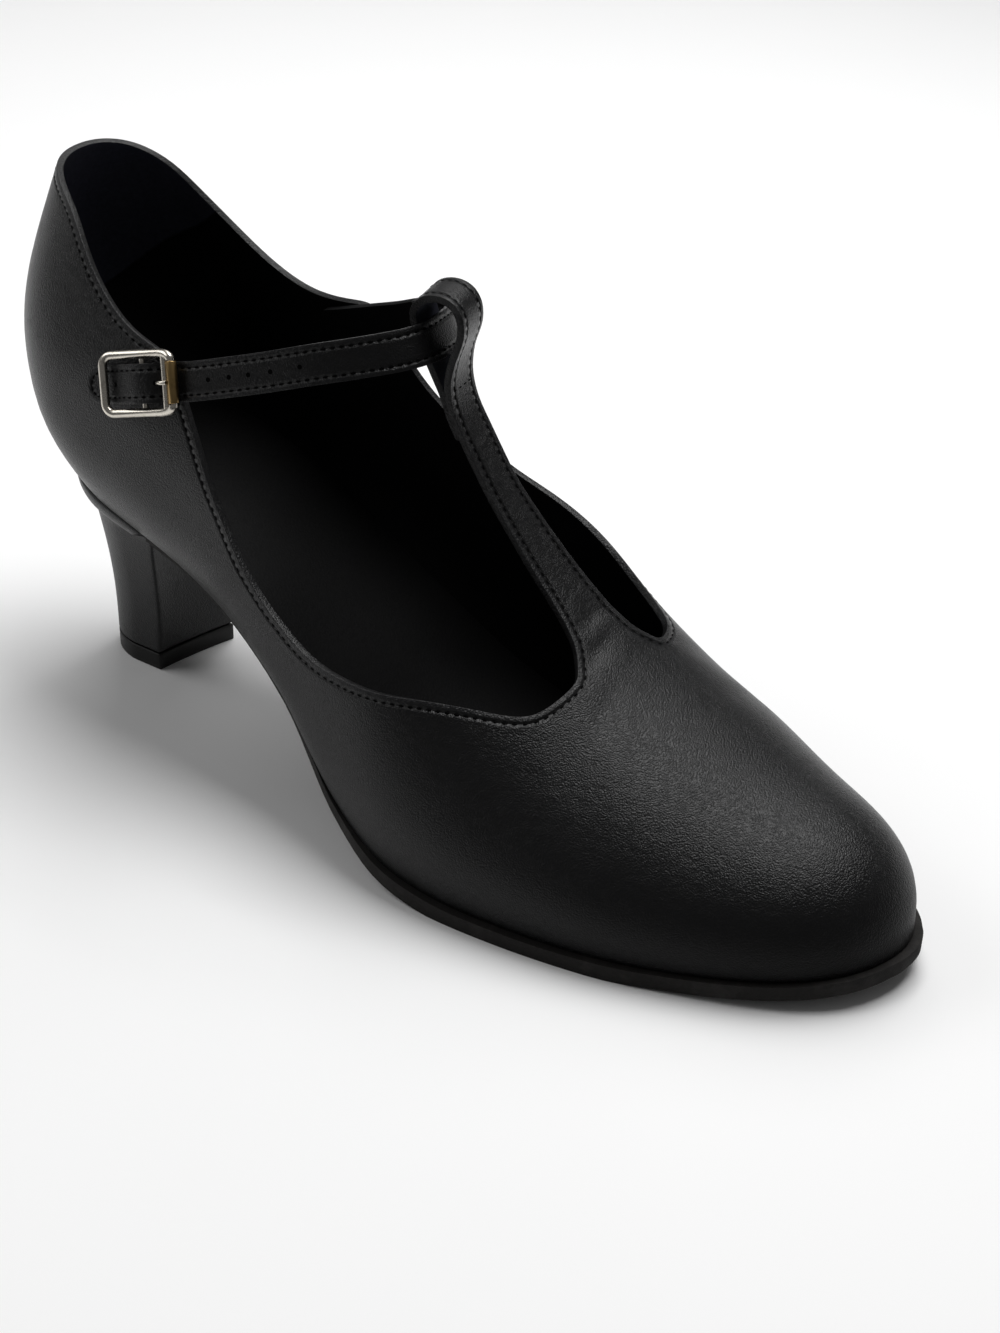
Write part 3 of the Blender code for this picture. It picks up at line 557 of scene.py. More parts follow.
sheetVerts, sheetFaces = upperSheet()
cadLow = np.array(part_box("upper")[0])
floorShift = np.array([cadLow[0] - sheetVerts[:, 0].min(), cadLow[1] - sheetVerts[:, 1].min(), 0.0])
upperSkin = meshPiece("upperSkin", sheetVerts, sheetFaces)
outerFace = min(upperSkin.data.polygons, key=lambda f: f.center.y)
if outerFace.normal.y > 0:
    upperSkin.data.flip_normals()
subdivide(upperSkin, 2)
rimLine = max(boundaryLoops(upperSkin), key=lambda p: p[:, 2].max())
markDistance(upperSkin, rimLine)
creaseShape(upperSkin, creases)
upperTree = BVHTree.FromObject(upperSkin, bpy.context.evaluated_depsgraph_get())
print("upper surface made")


# Stitches
stitchSizes = {"long": 0.00135, "radius": 0.00020, "sunk": 0.00008}


def stitchModel():
    # one stitch: a short rounded thread, lower at both ends
    bpy.ops.object.select_all(action='DESELECT')
    bpy.ops.mesh.primitive_uv_sphere_add(segments=6, ring_count=5, radius=1.0, rotation=(0, math.pi / 2, 0))
    one = bpy.context.object
    bpy.ops.object.transform_apply(rotation=True)
    bpy.ops.transform.resize(value=(stitchSizes["long"] / 2, stitchSizes["radius"] * 1.25, stitchSizes["radius"]))
    bpy.ops.object.transform_apply(scale=True)
    verts = coords(one)
    faces = [tuple(f.vertices) for f in one.data.polygons]
    bpy.data.objects.remove(one, do_unlink=True)
    return verts, faces


stitchVerts, stitchFaces = stitchModel()


def sewn(name, places):
    # a row of stitches: each place is a point, the way along and the way out
    verts, faces = [], []
    for point, along, out in places:
        out = out / np.linalg.norm(out)
        along = along - out * (along @ out)
        along = along / np.linalg.norm(along)
        side = np.cross(out, along)
        start = len(verts)
        middle = point - out * stitchSizes["sunk"] - floorShift
        verts.extend(middle + stitchVerts @ np.stack([along, side, out]))
        faces.extend([tuple(start + i for i in f) for f in stitchFaces])
    obj = meshPiece(name, verts, faces, clean=False)
    smoothShade(obj, 60)
    return obj


def stitchesAlong(line, tree, inward, pitch):
    # stitch places beside a rim, laid back onto the sheet
    points = evenRun(line, pitch)
    ways = np.roll(points, -1, axis=0) - np.roll(points, 1, axis=0)
    ways = ways / np.linalg.norm(ways, axis=1, keepdims=True)
    rim = treeOf(line)
    places = []
    for p, way in zip(points, ways):
        near, out, _, _ = tree.find_nearest(Vector(p))
        out = np.array(out)
        side = np.cross(out, way)
        for sign in (1, -1):
            spot, spotOut, _, gapTo = tree.find_nearest(Vector(p + sign * side * inward))
            if gapTo < inward * 0.35 and rim.find(spot)[2] > inward * 0.8:
                places.append((np.array(spot), way, np.array(spotOut)))
                break
    return places


rimStitches = stitchesAlong(rimLine, upperTree, upperSizes["stitchIn"], upperSizes["stitchPitch"])
upperStitches = sewn("upperStitches", rimStitches)
print("upper stitches", len(rimStitches))

# The fold's cross seam: a short row of stitches over the strip where its end is sewn down
seamRow = barLine()[upperSizes["foldRow"]]
barMiddle = upperSizes["barRows"][-1][1] * last["ballWidth"] + 0.5 * upperSizes["barWidth"]
tilt = math.tan(upperSizes["barTurn"]) * upperSizes["foldSlant"]
seamPlaces = []
for share in np.linspace(-1, 1, upperSizes["foldStitches"]):
    side = upperSizes["foldHalf"] * share
    guess = np.array([seamRow[0] - side * tilt, barMiddle + side, seamRow[1]]) + floorShift
    spot, out, _, _ = upperTree.find_nearest(Vector(guess))
    seamPlaces.append((np.array(spot), np.array([-tilt, 1.0, 0.0]), np.array(out)))
foldStitches = sewn("foldStitches", seamPlaces)

# Wall of the upper: outside, lining and folded edge each get their own material place
for k in range(3):
    upperSkin.data.materials.append(None)
addModifier(upperSkin, 'SOLIDIFY', thickness=upperSizes["wall"], offset=-1.0, use_even_offset=True,
            use_quality_normals=True, material_offset=1, material_offset_rim=2)
addModifier(upperSkin, 'BEVEL', width=upperSizes["rimRound"], segments=3, limit_method='ANGLE',
            angle_limit=math.radians(55), harden_normals=False)
smoothShade(upperSkin, 60)
print("upper wall", len(upperSkin.data.polygons))


# Outsole and insole
soleSizes = {
    "thick": 0.0036, "insoleThick": 0.0020, "rows": 84, "across": 14, "edgeRound": 0.00035,
    "breastTop": 0.0505,    # where the sole meets the heel's breast, as in the heel's last row
    # how deep the insole's edge runs into the wall, in walls, and how much deeper at the toe
    "insoleDeep": 0.34, "toeDeep": 1.45, "toeFrom": 0.90, "toeOver": 0.08,
    # station, how far the sole edge stands out, thickness share
    "edge": [(0.00, -.0006, .55), (0.17, -.0010, .55), (0.32, -.0012, .58), (0.42, -.0006, .66),
             (0.50, .0006, .84), (0.56, .0012, 1.0), (0.90, .0012, 1.0), (1.00, .0012, .94)]}
edgeOut, edgeThick = smoothTable(soleSizes["edge"])


def outline(offset, first, count):
    # level outlines of both sides, moved out by the offset, at rounded stations
    sides = []
    t = np.linspace(0, math.pi, count)
    for side in (-1, 1):
        p = edgeLine(side, 900)[1][:, :2]
        way = np.gradient(p, axis=0)
        way = way / np.maximum(np.linalg.norm(way, axis=1, keepdims=True), 1e-12)
        out = np.stack([-way[:, 1] * side, way[:, 0] * side], -1)
        out[0] = (-1, 0)
        out[-1] = (1, 0)
        q = p + out * offset(p[:, 0] / length)[:, None]
        lo = q[0, 0] if first is None else first
        hi = q[-1, 0]
        x = lo + (hi - lo) * (0.5 * (1 - np.cos(t)) if first is None else np.sin(t / 2))
        held = np.concatenate([[True], np.diff(np.maximum.accumulate(q[:, 0])) > 1e-9])
        sides.append((x, np.interp(x, q[held, 0], q[held, 1])))
    return sides


def slab(name, offset, first, top, bottom):
    # a plate between two height functions inside an outline
    count, across = soleSizes["rows"], soleSizes["across"]
    (x, left), (_, right) = outline(offset, first, count)
    verts = []
    for level in (top, bottom):
        for i in range(count):
            ys = left[i] + (right[i] - left[i]) * (0.5 - 0.5 * np.cos(np.linspace(0, math.pi, across + 1)))
            if (i == 0 and first is None) or i == count - 1:
                ys = np.full(across + 1, 0.5 * (left[i] + right[i]))
            verts.extend([(x[i], y, float(level(x[i], y, left[i], right[i]))) for y in ys])
    size = count * (across + 1)
    faces = gridFaces(count, across + 1) + gridFaces(count, across + 1, start=size)
    for i in range(count - 1):
        for k in (0, across):
            a, b = i * (across + 1) + k, (i + 1) * (across + 1) + k
            faces.append((a, b, size + b, size + a))
    for i in (0, count - 1):
        for k in range(across):
            a = i * (across + 1) + k
            faces.append((a, a + 1, size + a + 1, size + a))
    return meshPiece(name, verts, faces)


def soleUnder(x, y, left, right):
    return max(0.0, float(soleLine(x) - last["gap"] - soleSizes["thick"] * edgeThick(x / length)))


def insoleTop(x, y, left, right):
    # the sock lies in a soft hollow and rises at the sides
    u = abs(2 * (y - left) / max(right - left, 1e-6) - 1)
    return float(soleLine(x)) + soleSizes["insoleThick"] + 0.0005 * u**3 - 0.0003 * (1 - u * u)


def insoleSide(s):
    # its edge runs into the slanted foot of the wall, so no light passes beside it
    toe = np.clip((s - soleSizes["toeFrom"]) / soleSizes["toeOver"], 0, 1)
    return -upperSizes["wall"] * (soleSizes["insoleDeep"] + soleSizes["toeDeep"] * toe)


outsolePiece = slab("outsoleBody", edgeOut, soleSizes["breastTop"] + last["gap"],
                    lambda x, y, left, right: soleLine(x) - last["gap"], soleUnder)
addModifier(outsolePiece, 'BEVEL', width=soleSizes["edgeRound"], segments=3, limit_method='ANGLE',
            angle_limit=math.radians(40))
smoothShade(outsolePiece, 50)
insolePiece = slab("insoleSock", insoleSide, None, insoleTop, lambda x, y, left, right: soleLine(x))
addModifier(insolePiece, 'BEVEL', width=0.0003, segments=2, limit_method='ANGLE', angle_limit=math.radians(40))
smoothShade(insolePiece, 50)
print("soles made")


# Heel and its lift
heelSizes = {
    "liftLevels": (0.0, 0.0012, 0.0032, 0.0045), "bow": 0.64, "skew": 0.15, "seatFrom": 0.70, "edgeRound": 0.0007,
    # share of the heel height, back, breast, half width, side shift, breast hollow
    "rows": [
        (0.00, .0152, .0385, .0120, -.0015, .0004), (0.10, .0149, .0385, .0119, -.0014, .0006),
        (0.25, .0144, .0386, .0122, -.0012, .0012), (0.45, .0134, .0391, .0136, -.0009, .0020),
        (0.65, .0122, .0405, .0160, -.0006, .0026), (0.80, .0112, .0427, .0182, -.0004, .0026),
        (0.92, .0104, .0466, .0206, -.0003, .0016), (1.00, .0100, .0505, .0222, -.0002, .0000)]}
heelCurves = smoothTable(heelSizes["rows"])


def heelRing(t, fine=28, front=16):
    rear, breast, half, shift, hollow = [float(c(t)) for c in heelCurves]
    seat = smoothStep((t - heelSizes["seatFrom"]) / (1 - heelSizes["seatFrom"]))
    u = 1 - np.cos(np.linspace(0, math.pi / 2, fine))
    x = rear + (breast - rear) * u
    y = half * roundOff(u / heelSizes["bow"], last["heelPower"]) * (1 - 0.05 * np.clip(u - 0.6, 0, 1) / 0.4)
    runs = []
    for side in (-1, 1):
        edge = shiftAt(x) + side * halfWidth(x, np.zeros_like(x), side)
        across = (shift + side * y) * (1 - seat) + edge * seat
        runs.append(np.stack([x + heelSizes["skew"] * (1 - t) * across * u, across], -1))
    outer, inner = runs
    ring = [tuple(p) for p in outer[:0:-1]] + [tuple(p) for p in inner]
    for k in range(1, front):
        f = k / front
        px, py = inner[-1] * (1 - f) + outer[-1] * f
        ring.append((px - hollow * (1 - (1 - 2 * f)**2), py))
    return ring


def closedPile(name, rings):
    # rings stacked into a closed body, both ends filled
    n = len(rings[0])
    verts = [p for ring in rings for p in ring]
    faces = gridFaces(len(rings), n, True)
    faces.append(tuple(range(n)))
    faces.append(tuple(range((len(rings) - 1) * n, len(rings) * n)))
    return meshPiece(name, verts, faces)


base = heelSizes["liftLevels"][-1] + last["gap"]
heelRings = []
for t in np.linspace(0, 1, 30):
    heelRings.append([(x, y, base + (float(soleLine(x)) - last["gap"] - base) * t) for x, y in heelRing(t)])
heelPiece = closedPile("heelBlock", heelRings)
addModifier(heelPiece, 'BEVEL', width=heelSizes["edgeRound"], segments=3, limit_method='ANGLE',
            angle_limit=math.radians(38))
smoothShade(heelPiece, 50)
liftRing = heelRing(0.0)
liftPiece = closedPile("topLift", [[(x, y, z) for x, y in liftRing] for z in heelSizes["liftLevels"]])
addModifier(liftPiece, 'BEVEL', width=0.0003, segments=2, limit_method='ANGLE', angle_limit=math.radians(38))
smoothShade(liftPiece, 50)
print("heel made")


# Ankle strap
strapSizes = {
    "width": 0.0086, "thick": 0.0016, "edgeRound": 0.0005, "stitchIn": 0.0014, "stitchPitch": 0.0020,
    # from the inner end: how far its inner face and how far both faces take the dark lining, painted shade where the
    # end lies inside the shoe
    "shadedInnerFace": 0.0330, "shadedBothFaces": 0.0120,
    # station, share of the ball width, height share, lean of its width
    "free": [(.3250, -.3439, .8842, -.24, .24), (.3650, -.3012, 1.0180, -.32, .22),
             (.4050, -.2512, 1.1600, -.40, .17), (.4400, -.1854, 1.2860, -.48, .10),
             (.4680, -.1037, 1.3840, -.53, .02), (.4780, -.0244, 1.4161, -.54, -.04),
             (.4740, .0671, 1.4035, -.52, -.10), (.4600, .1585, 1.3469, -.48, -.16),
             (.4330, .2378, 1.2335, -.40, -.20), (.3950, .2800, 1.0889, -.32, -.22)],
    # station and height share on the inner quarter
    "lapped": [(.355, .9460), (.320, .8224), (.288, .7192), (.258, .6325)],
    # distance along the buckle, stand of the under face above the quarter
    "tail": [(-.0160, .00035), (-.0132, .00035), (-.0102, .00050), (-.0075, .00130),
             (-.0040, .00260), (.0000, .00340), (.0034, .00280), (.0057, .00120),
             (.0076, .00040), (.0104, .00040), (.0140, .00080)]}
buckleSizes = {
    "station": 0.2440, "level": 0.6580, "pitch": math.radians(16.5), "long": 0.0212, "room": 0.0020,
    "bar": 0.0010, "barSides": 20, "corner": 0.0022, "clear": 0.00065, "bow": 0.0010, "centreBar": 0.0006,
    "centreStand": 0.0018, "innerBar": 0.00085, "axle": 0.0007, "axleHalf": 0.0048, "roller": 0.00115,
    "rollerInset": 0.0022, "prong": 0.00048, "tabThick": 0.0006, "tabWidth": 0.0078, "tabSlot": 0.0024,
    "prongRows": [(.317, .00115), (.444, .00125), (.571, .0020), (.683, .0031), (.810, .0043),
                  (.984, .0049), (1.159, .0047)],
    "tabRows": [(-.0066, .00068), (-.0040, .00066), (-.0015, .00064), (.0000, .00062), (.0011, .00092),
                (.0015, .00175), (.0011, .00258), (.0000, .00288), (-.0012, .00262), (-.0026, .00200),
                (-.0042, .00168)]}
quarterPoint, quarterOut, quarterUp = surfaceFrame(buckleSizes["station"] * length,
                                                   levelAt(buckleSizes["station"], buckleSizes["level"]), -1)
flatWay = np.cross(quarterUp, quarterOut)
if flatWay[0] < 0:
    flatWay = -flatWay
buckleAlong = flatWay * math.cos(buckleSizes["pitch"]) + quarterUp * math.sin(buckleSizes["pitch"])
buckleAcross = quarterUp * math.cos(buckleSizes["pitch"]) - flatWay * math.sin(buckleSizes["pitch"])


def atBuckle(u, v, n):
    return quarterPoint + buckleAlong * u + buckleAcross * v + quarterOut * n


def strapRows(cells):
    thick = strapSizes["thick"]
    rows = [np.concatenate([atBuckle(u, 0, n + thick), buckleAcross]) for u, n in strapSizes["tail"]]
    for s, side, share, leanX, leanY in strapSizes["free"]:
        rows.append(np.array([s * length, side * last["ballWidth"], levelAt(s, share), leanX, leanY, 1.0]))
    for s, share in strapSizes["lapped"]:
        p, out, up = surfaceFrame(s * length, levelAt(s, share), 1)
        rows.append(np.concatenate([p - out * (upperSizes["wall"] + last["gap"]), up]))
    return smoothRows(rows, cells)


def strapBand(cells, across):
    fine = strapRows(cells)
    points, leans = fine[:, :3], fine[:, 3:]
    way = np.gradient(points, axis=0)
    way = way / np.linalg.norm(way, axis=1, keepdims=True)
    leans = leans - way * (leans * way).sum(1, keepdims=True)
    leans = leans / np.linalg.norm(leans, axis=1, keepdims=True)
    run = runOf(points)
    wide = strapSizes["width"]
    tip = wide * roundOff(run / (wide * 0.55) + 0.03, 2.0)
    end = wide * roundOff((run[-1] - run) / (wide * 0.30) + 0.25, 2.4)
    width = np.minimum(tip, end)
    v = np.linspace(-0.5, 0.5, across + 1)
    return points[:, None, :] + leans[:, None, :] * v[None, :, None] * width[:, None, None], run


bandGrid, bandRun = strapBand(9, 12)
bandRows, bandColumns = bandGrid.shape[:2]
strapSheet = meshPiece("strapBand", bandGrid.reshape(-1, 3), gridFaces(bandRows, bandColumns))
if min(strapSheet.data.polygons, key=lambda f: f.center.y).normal.y > 0:
    strapSheet.data.flip_normals()
strapRim = boundaryLoops(strapSheet)[0]
markDistance(strapSheet, strapRim)
strapCentre = bandGrid[:, bandColumns // 2] + floorShift
centreTree = treeOf(strapCentre)
setAttribute(strapSheet, "strapAlong", [bandRun[centreTree.find(p)[1]] for p in coords(strapSheet)])
strapTree = BVHTree.FromObject(strapSheet, bpy.context.evaluated_depsgraph_get())
strapPlaces = stitchesAlong(strapRim, strapTree, strapSizes["stitchIn"], strapSizes["stitchPitch"])
strapStitches = sewn("strapStitches", strapPlaces)

# Punched holes: dark rounds let into the strap at these places from its tip, painted shade standing in for holes that
# are not cut
holeShadeDiscs = {"places": [.0095, .0215, .0352, .0403, .0450, .0503, .0572], "radius": 0.00052, "sides": 14,
              "levels": (-.00030, .00002)}
holeVerts, holeFaces = [], []
for place in holeShadeDiscs["places"]:
    middle = Vector([np.interp(place, bandRun, strapCentre[:, k]) for k in range(3)])
    spot, normal = strapTree.find_nearest(middle)[:2]
    sideways = normal.orthogonal().normalized()
    upward = normal.cross(sideways)
    start, sides = len(holeVerts), holeShadeDiscs["sides"]
    for level in holeShadeDiscs["levels"]:
        for k in range(sides):
            turn = 2 * math.pi * k / sides
            rim = (sideways * math.cos(turn) + upward * math.sin(turn)) * holeShadeDiscs["radius"]
            holeVerts.append(np.array(spot + rim + normal * level) - floorShift)
    holeFaces += gridFaces(2, sides, True, start=start)
    holeFaces += [tuple(range(start, start + sides)), tuple(range(start + sides, start + 2 * sides))]
holeShadePieces = meshPiece("holeShadeDiscs", holeVerts, holeFaces)
for k in range(2):
    strapSheet.data.materials.append(None)
addModifier(strapSheet, 'SOLIDIFY', thickness=strapSizes["thick"], offset=-1.0, use_even_offset=True,
            use_quality_normals=True, material_offset_rim=1)
addModifier(strapSheet, 'BEVEL', width=strapSizes["edgeRound"], segments=3, limit_method='ANGLE',
            angle_limit=math.radians(50))
smoothShade(strapSheet, 60)
print("strap made", len(strapPlaces))


# Buckle
def innerBarPlace():
    return buckleSizes["long"] / 2 - buckleSizes["bar"] - buckleSizes["rollerInset"]


def frameHeight(u):
    reach = buckleSizes["long"] / 2 - buckleSizes["bar"]
    stand = last["gap"] + strapSizes["thick"] + buckleSizes["roller"] + buckleSizes["clear"]
    return stand - buckleSizes["bow"] * (1 - (u / reach)**2)


def frameBar(name, points, radius, closed=False, radii=None):
    obj = tube(name, points, radius, buckleSizes["barSides"], closed, radii)
    smoothShade(obj, 50)
    return obj


def buckleParts():
    a = buckleSizes["long"] / 2 - buckleSizes["bar"]
    b = strapSizes["width"] / 2 + buckleSizes["room"]
    c = buckleSizes["corner"]
    half = buckleSizes["axleHalf"]
    path = []
    for corner, sy in ((0, 1), (1, -1)):
        for k in range(9):
            turn = math.pi / 2 + corner * math.pi / 2 + k * math.pi / 16
            path.append((-a + c + c * math.cos(turn), sy * (b - c) + c * math.sin(turn)))
    path = path + [(u, -b) for u in np.linspace(-a + 1.8 * c, a - 1.6 * c, 8)]
    shoulder = [(a - 0.9 * c, -b * 0.97), (a - 0.55 * c, -b * 0.93), (a - 0.25 * c, -b * 0.86),
                (a - 0.06 * c, -b * 0.78), (a, -half)]
    radii = [1.0] * (len(path) + 4) + [buckleSizes["axle"] / buckleSizes["bar"]] * 2 + [1.0] * 12
    path = path + shoulder + [(a, half)] + [(u, -v) for u, v in shoulder[3::-1]]
    path = path + [(u, b) for u in np.linspace(a - 1.6 * c, -a + 1.8 * c, 8)]
    points = [atBuckle(u, v, frameHeight(u)) for u, v in path]
    loop = frameBar("buckleFrame", points, buckleSizes["bar"], True, radii)
    stand = buckleSizes["centreStand"]
    centre = frameBar("centreBar", [atBuckle(0, v, stand) for v in (-b, b)], buckleSizes["centreBar"])
    inside = innerBarPlace()
    near = frameBar("innerBar", [atBuckle(inside, v, frameHeight(inside)) for v in (-b, b)],
                    buckleSizes["innerBar"])
    ring = buckleSizes["centreBar"] + last["gap"] * 0.5 + buckleSizes["prong"]
    rows = []
    for k in range(17):
        turn = math.radians(140 + 190 * k / 16)
        rows.append((ring * math.cos(turn), stand + ring * math.sin(turn)))
    rows = rows + [(u * inside, n) for u, n in buckleSizes["prongRows"]]
    prong = frameBar("bucklePin", [atBuckle(u, 0, n) for u, n in smoothRows(rows, 4)], buckleSizes["prong"])
    return joined("buckleFrame", [loop, centre, near]), prong, a, half - last["gap"]


def rollerPiece(a, half):
    # a thin brass sleeve with rolled ends, turned onto the axle
    bpy.ops.object.select_all(action='DESELECT')
    bpy.ops.mesh.primitive_cylinder_add(vertices=40, radius=buckleSizes["roller"], depth=2 * half,
                                        end_fill_type='NOTHING')
    obj = bpy.context.object
    obj.name = obj.data.name = "rollerSleeve"
    place = Matrix([list(v) + [c] for v, c in zip(np.stack([buckleAlong, quarterOut, buckleAcross], 1),
                                                  atBuckle(a, 0, frameHeight(a)) + floorShift)] + [[0, 0, 0, 1]])
    obj.data.transform(place)
    middle = Vector(atBuckle(a, 0, frameHeight(a)) + floorShift)
    first = obj.data.polygons[0]
    if (first.center - middle).dot(first.normal) < 0:
        obj.data.flip_normals()
    addModifier(obj, 'SOLIDIFY', thickness=buckleSizes["roller"] - buckleSizes["axle"] - last["gap"] * 0.5,
                offset=-1.0)
    addModifier(obj, 'BEVEL', width=0.00012, segments=2, limit_method='ANGLE', angle_limit=math.radians(50))
    smoothShade(obj, 50)
    return obj


def tabPiece():
    fine = smoothRows(buckleSizes["tabRows"], 5)
    wide, slot = buckleSizes["tabWidth"] / 2, buckleSizes["tabSlot"] / 2
    cross = (-wide, -0.5 * (wide + slot), -slot, slot, 0.5 * (wide + slot), wide)
    verts = [atBuckle(u, v, n) for u, n in fine for v in cross]
    faces = []
    for face in gridFaces(len(fine), len(cross)):
        row, column = divmod(face[0], len(cross))
        nearBar = fine[row, 0] > -0.0022 or fine[row + 1, 0] > -0.0022
        if column != 2 or not nearBar:
            faces.append(face)
    obj = meshPiece("tabLoop", verts, faces)
    addModifier(obj, 'SOLIDIFY', thickness=buckleSizes["tabThick"], offset=0.0, use_even_offset=True)
    addModifier(obj, 'BEVEL', width=0.00015, segments=2, limit_method='ANGLE', angle_limit=math.radians(60))
    smoothShade(obj, 60)
    return obj


framePiece, prongPiece, barPlace, rollerHalf = buckleParts()
rollerSleeve = rollerPiece(barPlace, rollerHalf)
tabLoop = tabPiece()
print("buckle made")


# Shader groups shared by the materials
def newGroup(name, ins, outs):
    group = bpy.data.node_groups.new(name, 'ShaderNodeTree')
    for label, kind, value in ins:
        socket = group.interface.new_socket(name=label, in_out='INPUT', socket_type=kind)
        if value is not None:
            socket.default_value = value
    for label, kind in outs:
        group.interface.new_socket(name=label, in_out='OUTPUT', socket_type=kind)
    source = group.nodes.new('NodeGroupInput')
    sink = group.nodes.new('NodeGroupOutput')
    return group, source, sink


def add(tree, kind, links=None, **settings):
    # one node, its settings and what feeds it
    node = tree.nodes.new(kind)
    for key, value in settings.items():
        setattr(node, key, value)
    for key, value in (links or {}).items():
        if isinstance(value, bpy.types.NodeSocket):
            tree.links.new(value, node.inputs[key])
        else:
            node.inputs[key].default_value = value
    return node


def maths(tree, operation, a, b=0.0, clamp=False):
    node = add(tree, 'ShaderNodeMath', {0: a, 1: b}, operation=operation)
    node.use_clamp = clamp
    return node.outputs[0]


def noise(tree, vector, scale, detail, rough=0.5):
    return add(tree, 'ShaderNodeTexNoise', {"Vector": vector, "Scale": scale, "Detail": detail, "Roughness": rough})


def spread(tree, value, span, start):
    # a varying value made to run over a span from a start
    return maths(tree, 'ADD', maths(tree, 'MULTIPLY', value, span), start)


def bumpOf(tree, height, depth, strength, under=None):
    links = {"Height": height, "Distance": depth, "Strength": strength}
    if under is not None:
        links["Normal"] = under
    return add(tree, 'ShaderNodeBump', links).outputs[0]


def finish(tree, shader, tint, rough, bump):
    for socket, value in (("Base Color", tint), ("Roughness", rough), ("Normal", bump)):
        tree.links.new(value, shader.inputs[socket])


def leatherGrain():
    # fine pebble grain: cells of uneven size with pores between them, and slow unevenness
    group, source, sink = newGroup("leatherGrain", [("Vector", 'NodeSocketVector', None),
                                                    ("Grain", 'NodeSocketFloat', 1900.0),
                                                    ("Waves", 'NodeSocketFloat', 60.0)],
                                   [("Height", 'NodeSocketFloat'), ("Tone", 'NodeSocketFloat'),
                                    ("Cloud", 'NodeSocketFloat')])
    vector = source.outputs["Vector"]
    warp = noise(group, vector, 420.0, 2.0)
    bent = add(group, 'ShaderNodeVectorMath', {0: warp.outputs["Color"], 1: (0.0012, 0.0012, 0.0012)},
               operation='MULTIPLY')
    moved = add(group, 'ShaderNodeVectorMath', {0: vector, 1: bent.outputs[0]}, operation='ADD')
    cells = add(group, 'ShaderNodeTexVoronoi', {"Vector": moved.outputs[0], "Scale": source.outputs["Grain"]},
                feature='F1')
    pores = noise(group, vector, 2600.0, 3.0, 0.6)
    waves = noise(group, vector, source.outputs["Waves"], 3.0)
    lumps = maths(group, 'MULTIPLY', cells.outputs["Distance"], -1.1)
    fine = maths(group, 'MULTIPLY', pores.outputs["Fac"], 0.75)
    slow = maths(group, 'MULTIPLY', waves.outputs["Fac"], 0.22)
    height = maths(group, 'ADD', maths(group, 'ADD', lumps, fine), slow)
    group.links.new(height, sink.inputs["Height"])
    group.links.new(cells.outputs["Distance"], sink.inputs["Tone"])
    group.links.new(waves.outputs["Fac"], sink.inputs["Cloud"])
    return group


def seamGroove():
    # a pressed line at a set distance from an edge, with a low roll between the line and the edge; its second output
    # marks the groove for painted shade, its third marks the edge for wear and a painted highlight
    group, source, sink = newGroup("seamGroove", [("Distance", 'NodeSocketFloat', 0.01),
                                                  ("Place", 'NodeSocketFloat', 0.0021),
                                                  ("Width", 'NodeSocketFloat', 0.00042)],
                                   [("Height", 'NodeSocketFloat'), ("Line", 'NodeSocketFloat'),
                                    ("EdgeWearAndSheen", 'NodeSocketFloat')])
    away = maths(group, 'SUBTRACT', source.outputs["Distance"], source.outputs["Place"])
    ratio = maths(group, 'DIVIDE', away, source.outputs["Width"])
    square = maths(group, 'MULTIPLY', ratio, ratio)
    bell = maths(group, 'POWER', 2.718, maths(group, 'MULTIPLY', square, -1.0))
    share = maths(group, 'DIVIDE', source.outputs["Distance"], source.outputs["Place"])
    edge = maths(group, 'SUBTRACT', 1.0, share, clamp=True)
    swell = maths(group, 'MULTIPLY', maths(group, 'MULTIPLY', share, maths(group, 'SUBTRACT', 2.0, share)), 0.5)
    inner = maths(group, 'LESS_THAN', share, 1.0)
    roll = maths(group, 'MULTIPLY', maths(group, 'MULTIPLY', swell, inner), 0.6)
    group.links.new(maths(group, 'SUBTRACT', roll, bell), sink.inputs["Height"])
    group.links.new(bell, sink.inputs["Line"])
    group.links.new(edge, sink.inputs["EdgeWearAndSheen"])
    return group


def edgeWear():
    # scuffs: sparse pale rubs where noise rises above a level
    group, source, sink = newGroup("edgeWear", [("Vector", 'NodeSocketVector', None),
                                                ("Scale", 'NodeSocketFloat', 120.0),
                                                ("Level", 'NodeSocketFloat', 0.62)],
                                   [("Mask", 'NodeSocketFloat')])
    rubs = noise(group, source.outputs["Vector"], source.outputs["Scale"], 6.0, 0.65)
    over = maths(group, 'SUBTRACT', rubs.outputs["Fac"], source.outputs["Level"])
    mask = maths(group, 'MULTIPLY', over, 9.0, clamp=True)
    group.links.new(mask, sink.inputs["Mask"])
    return group


grainGroup, grooveGroup, wearGroup = leatherGrain(), seamGroove(), edgeWear()


def newMaterial(name, **values):
    mat = bpy.data.materials.new(name)
    mat.use_nodes = True
    tree = mat.node_tree
    shader = tree.nodes["Principled BSDF"]
    for key, value in values.items():
        shader.inputs[key.replace("_", " ")].default_value = value
    place = add(tree, 'ShaderNodeTexCoord')
    return mat, tree, shader, place.outputs["Object"]


def useGroup(tree, group, **links):
    return add(tree, 'ShaderNodeGroup', links, node_tree=group)


def mixColour(tree, factor, first, second):
    node = tree.nodes.new('ShaderNodeMix')
    node.data_type = 'RGBA'
    for socket, value in ((node.inputs[0], factor), (node.inputs[6], first), (node.inputs[7], second)):
        if isinstance(value, bpy.types.NodeSocket):
            tree.links.new(value, socket)
        else:
            socket.default_value = value if isinstance(value, float) else (*value, 1.0)
    return node.outputs[2]


def attribute(tree, name):
    return add(tree, 'ShaderNodeAttribute', attribute_name=name).outputs["Fac"]


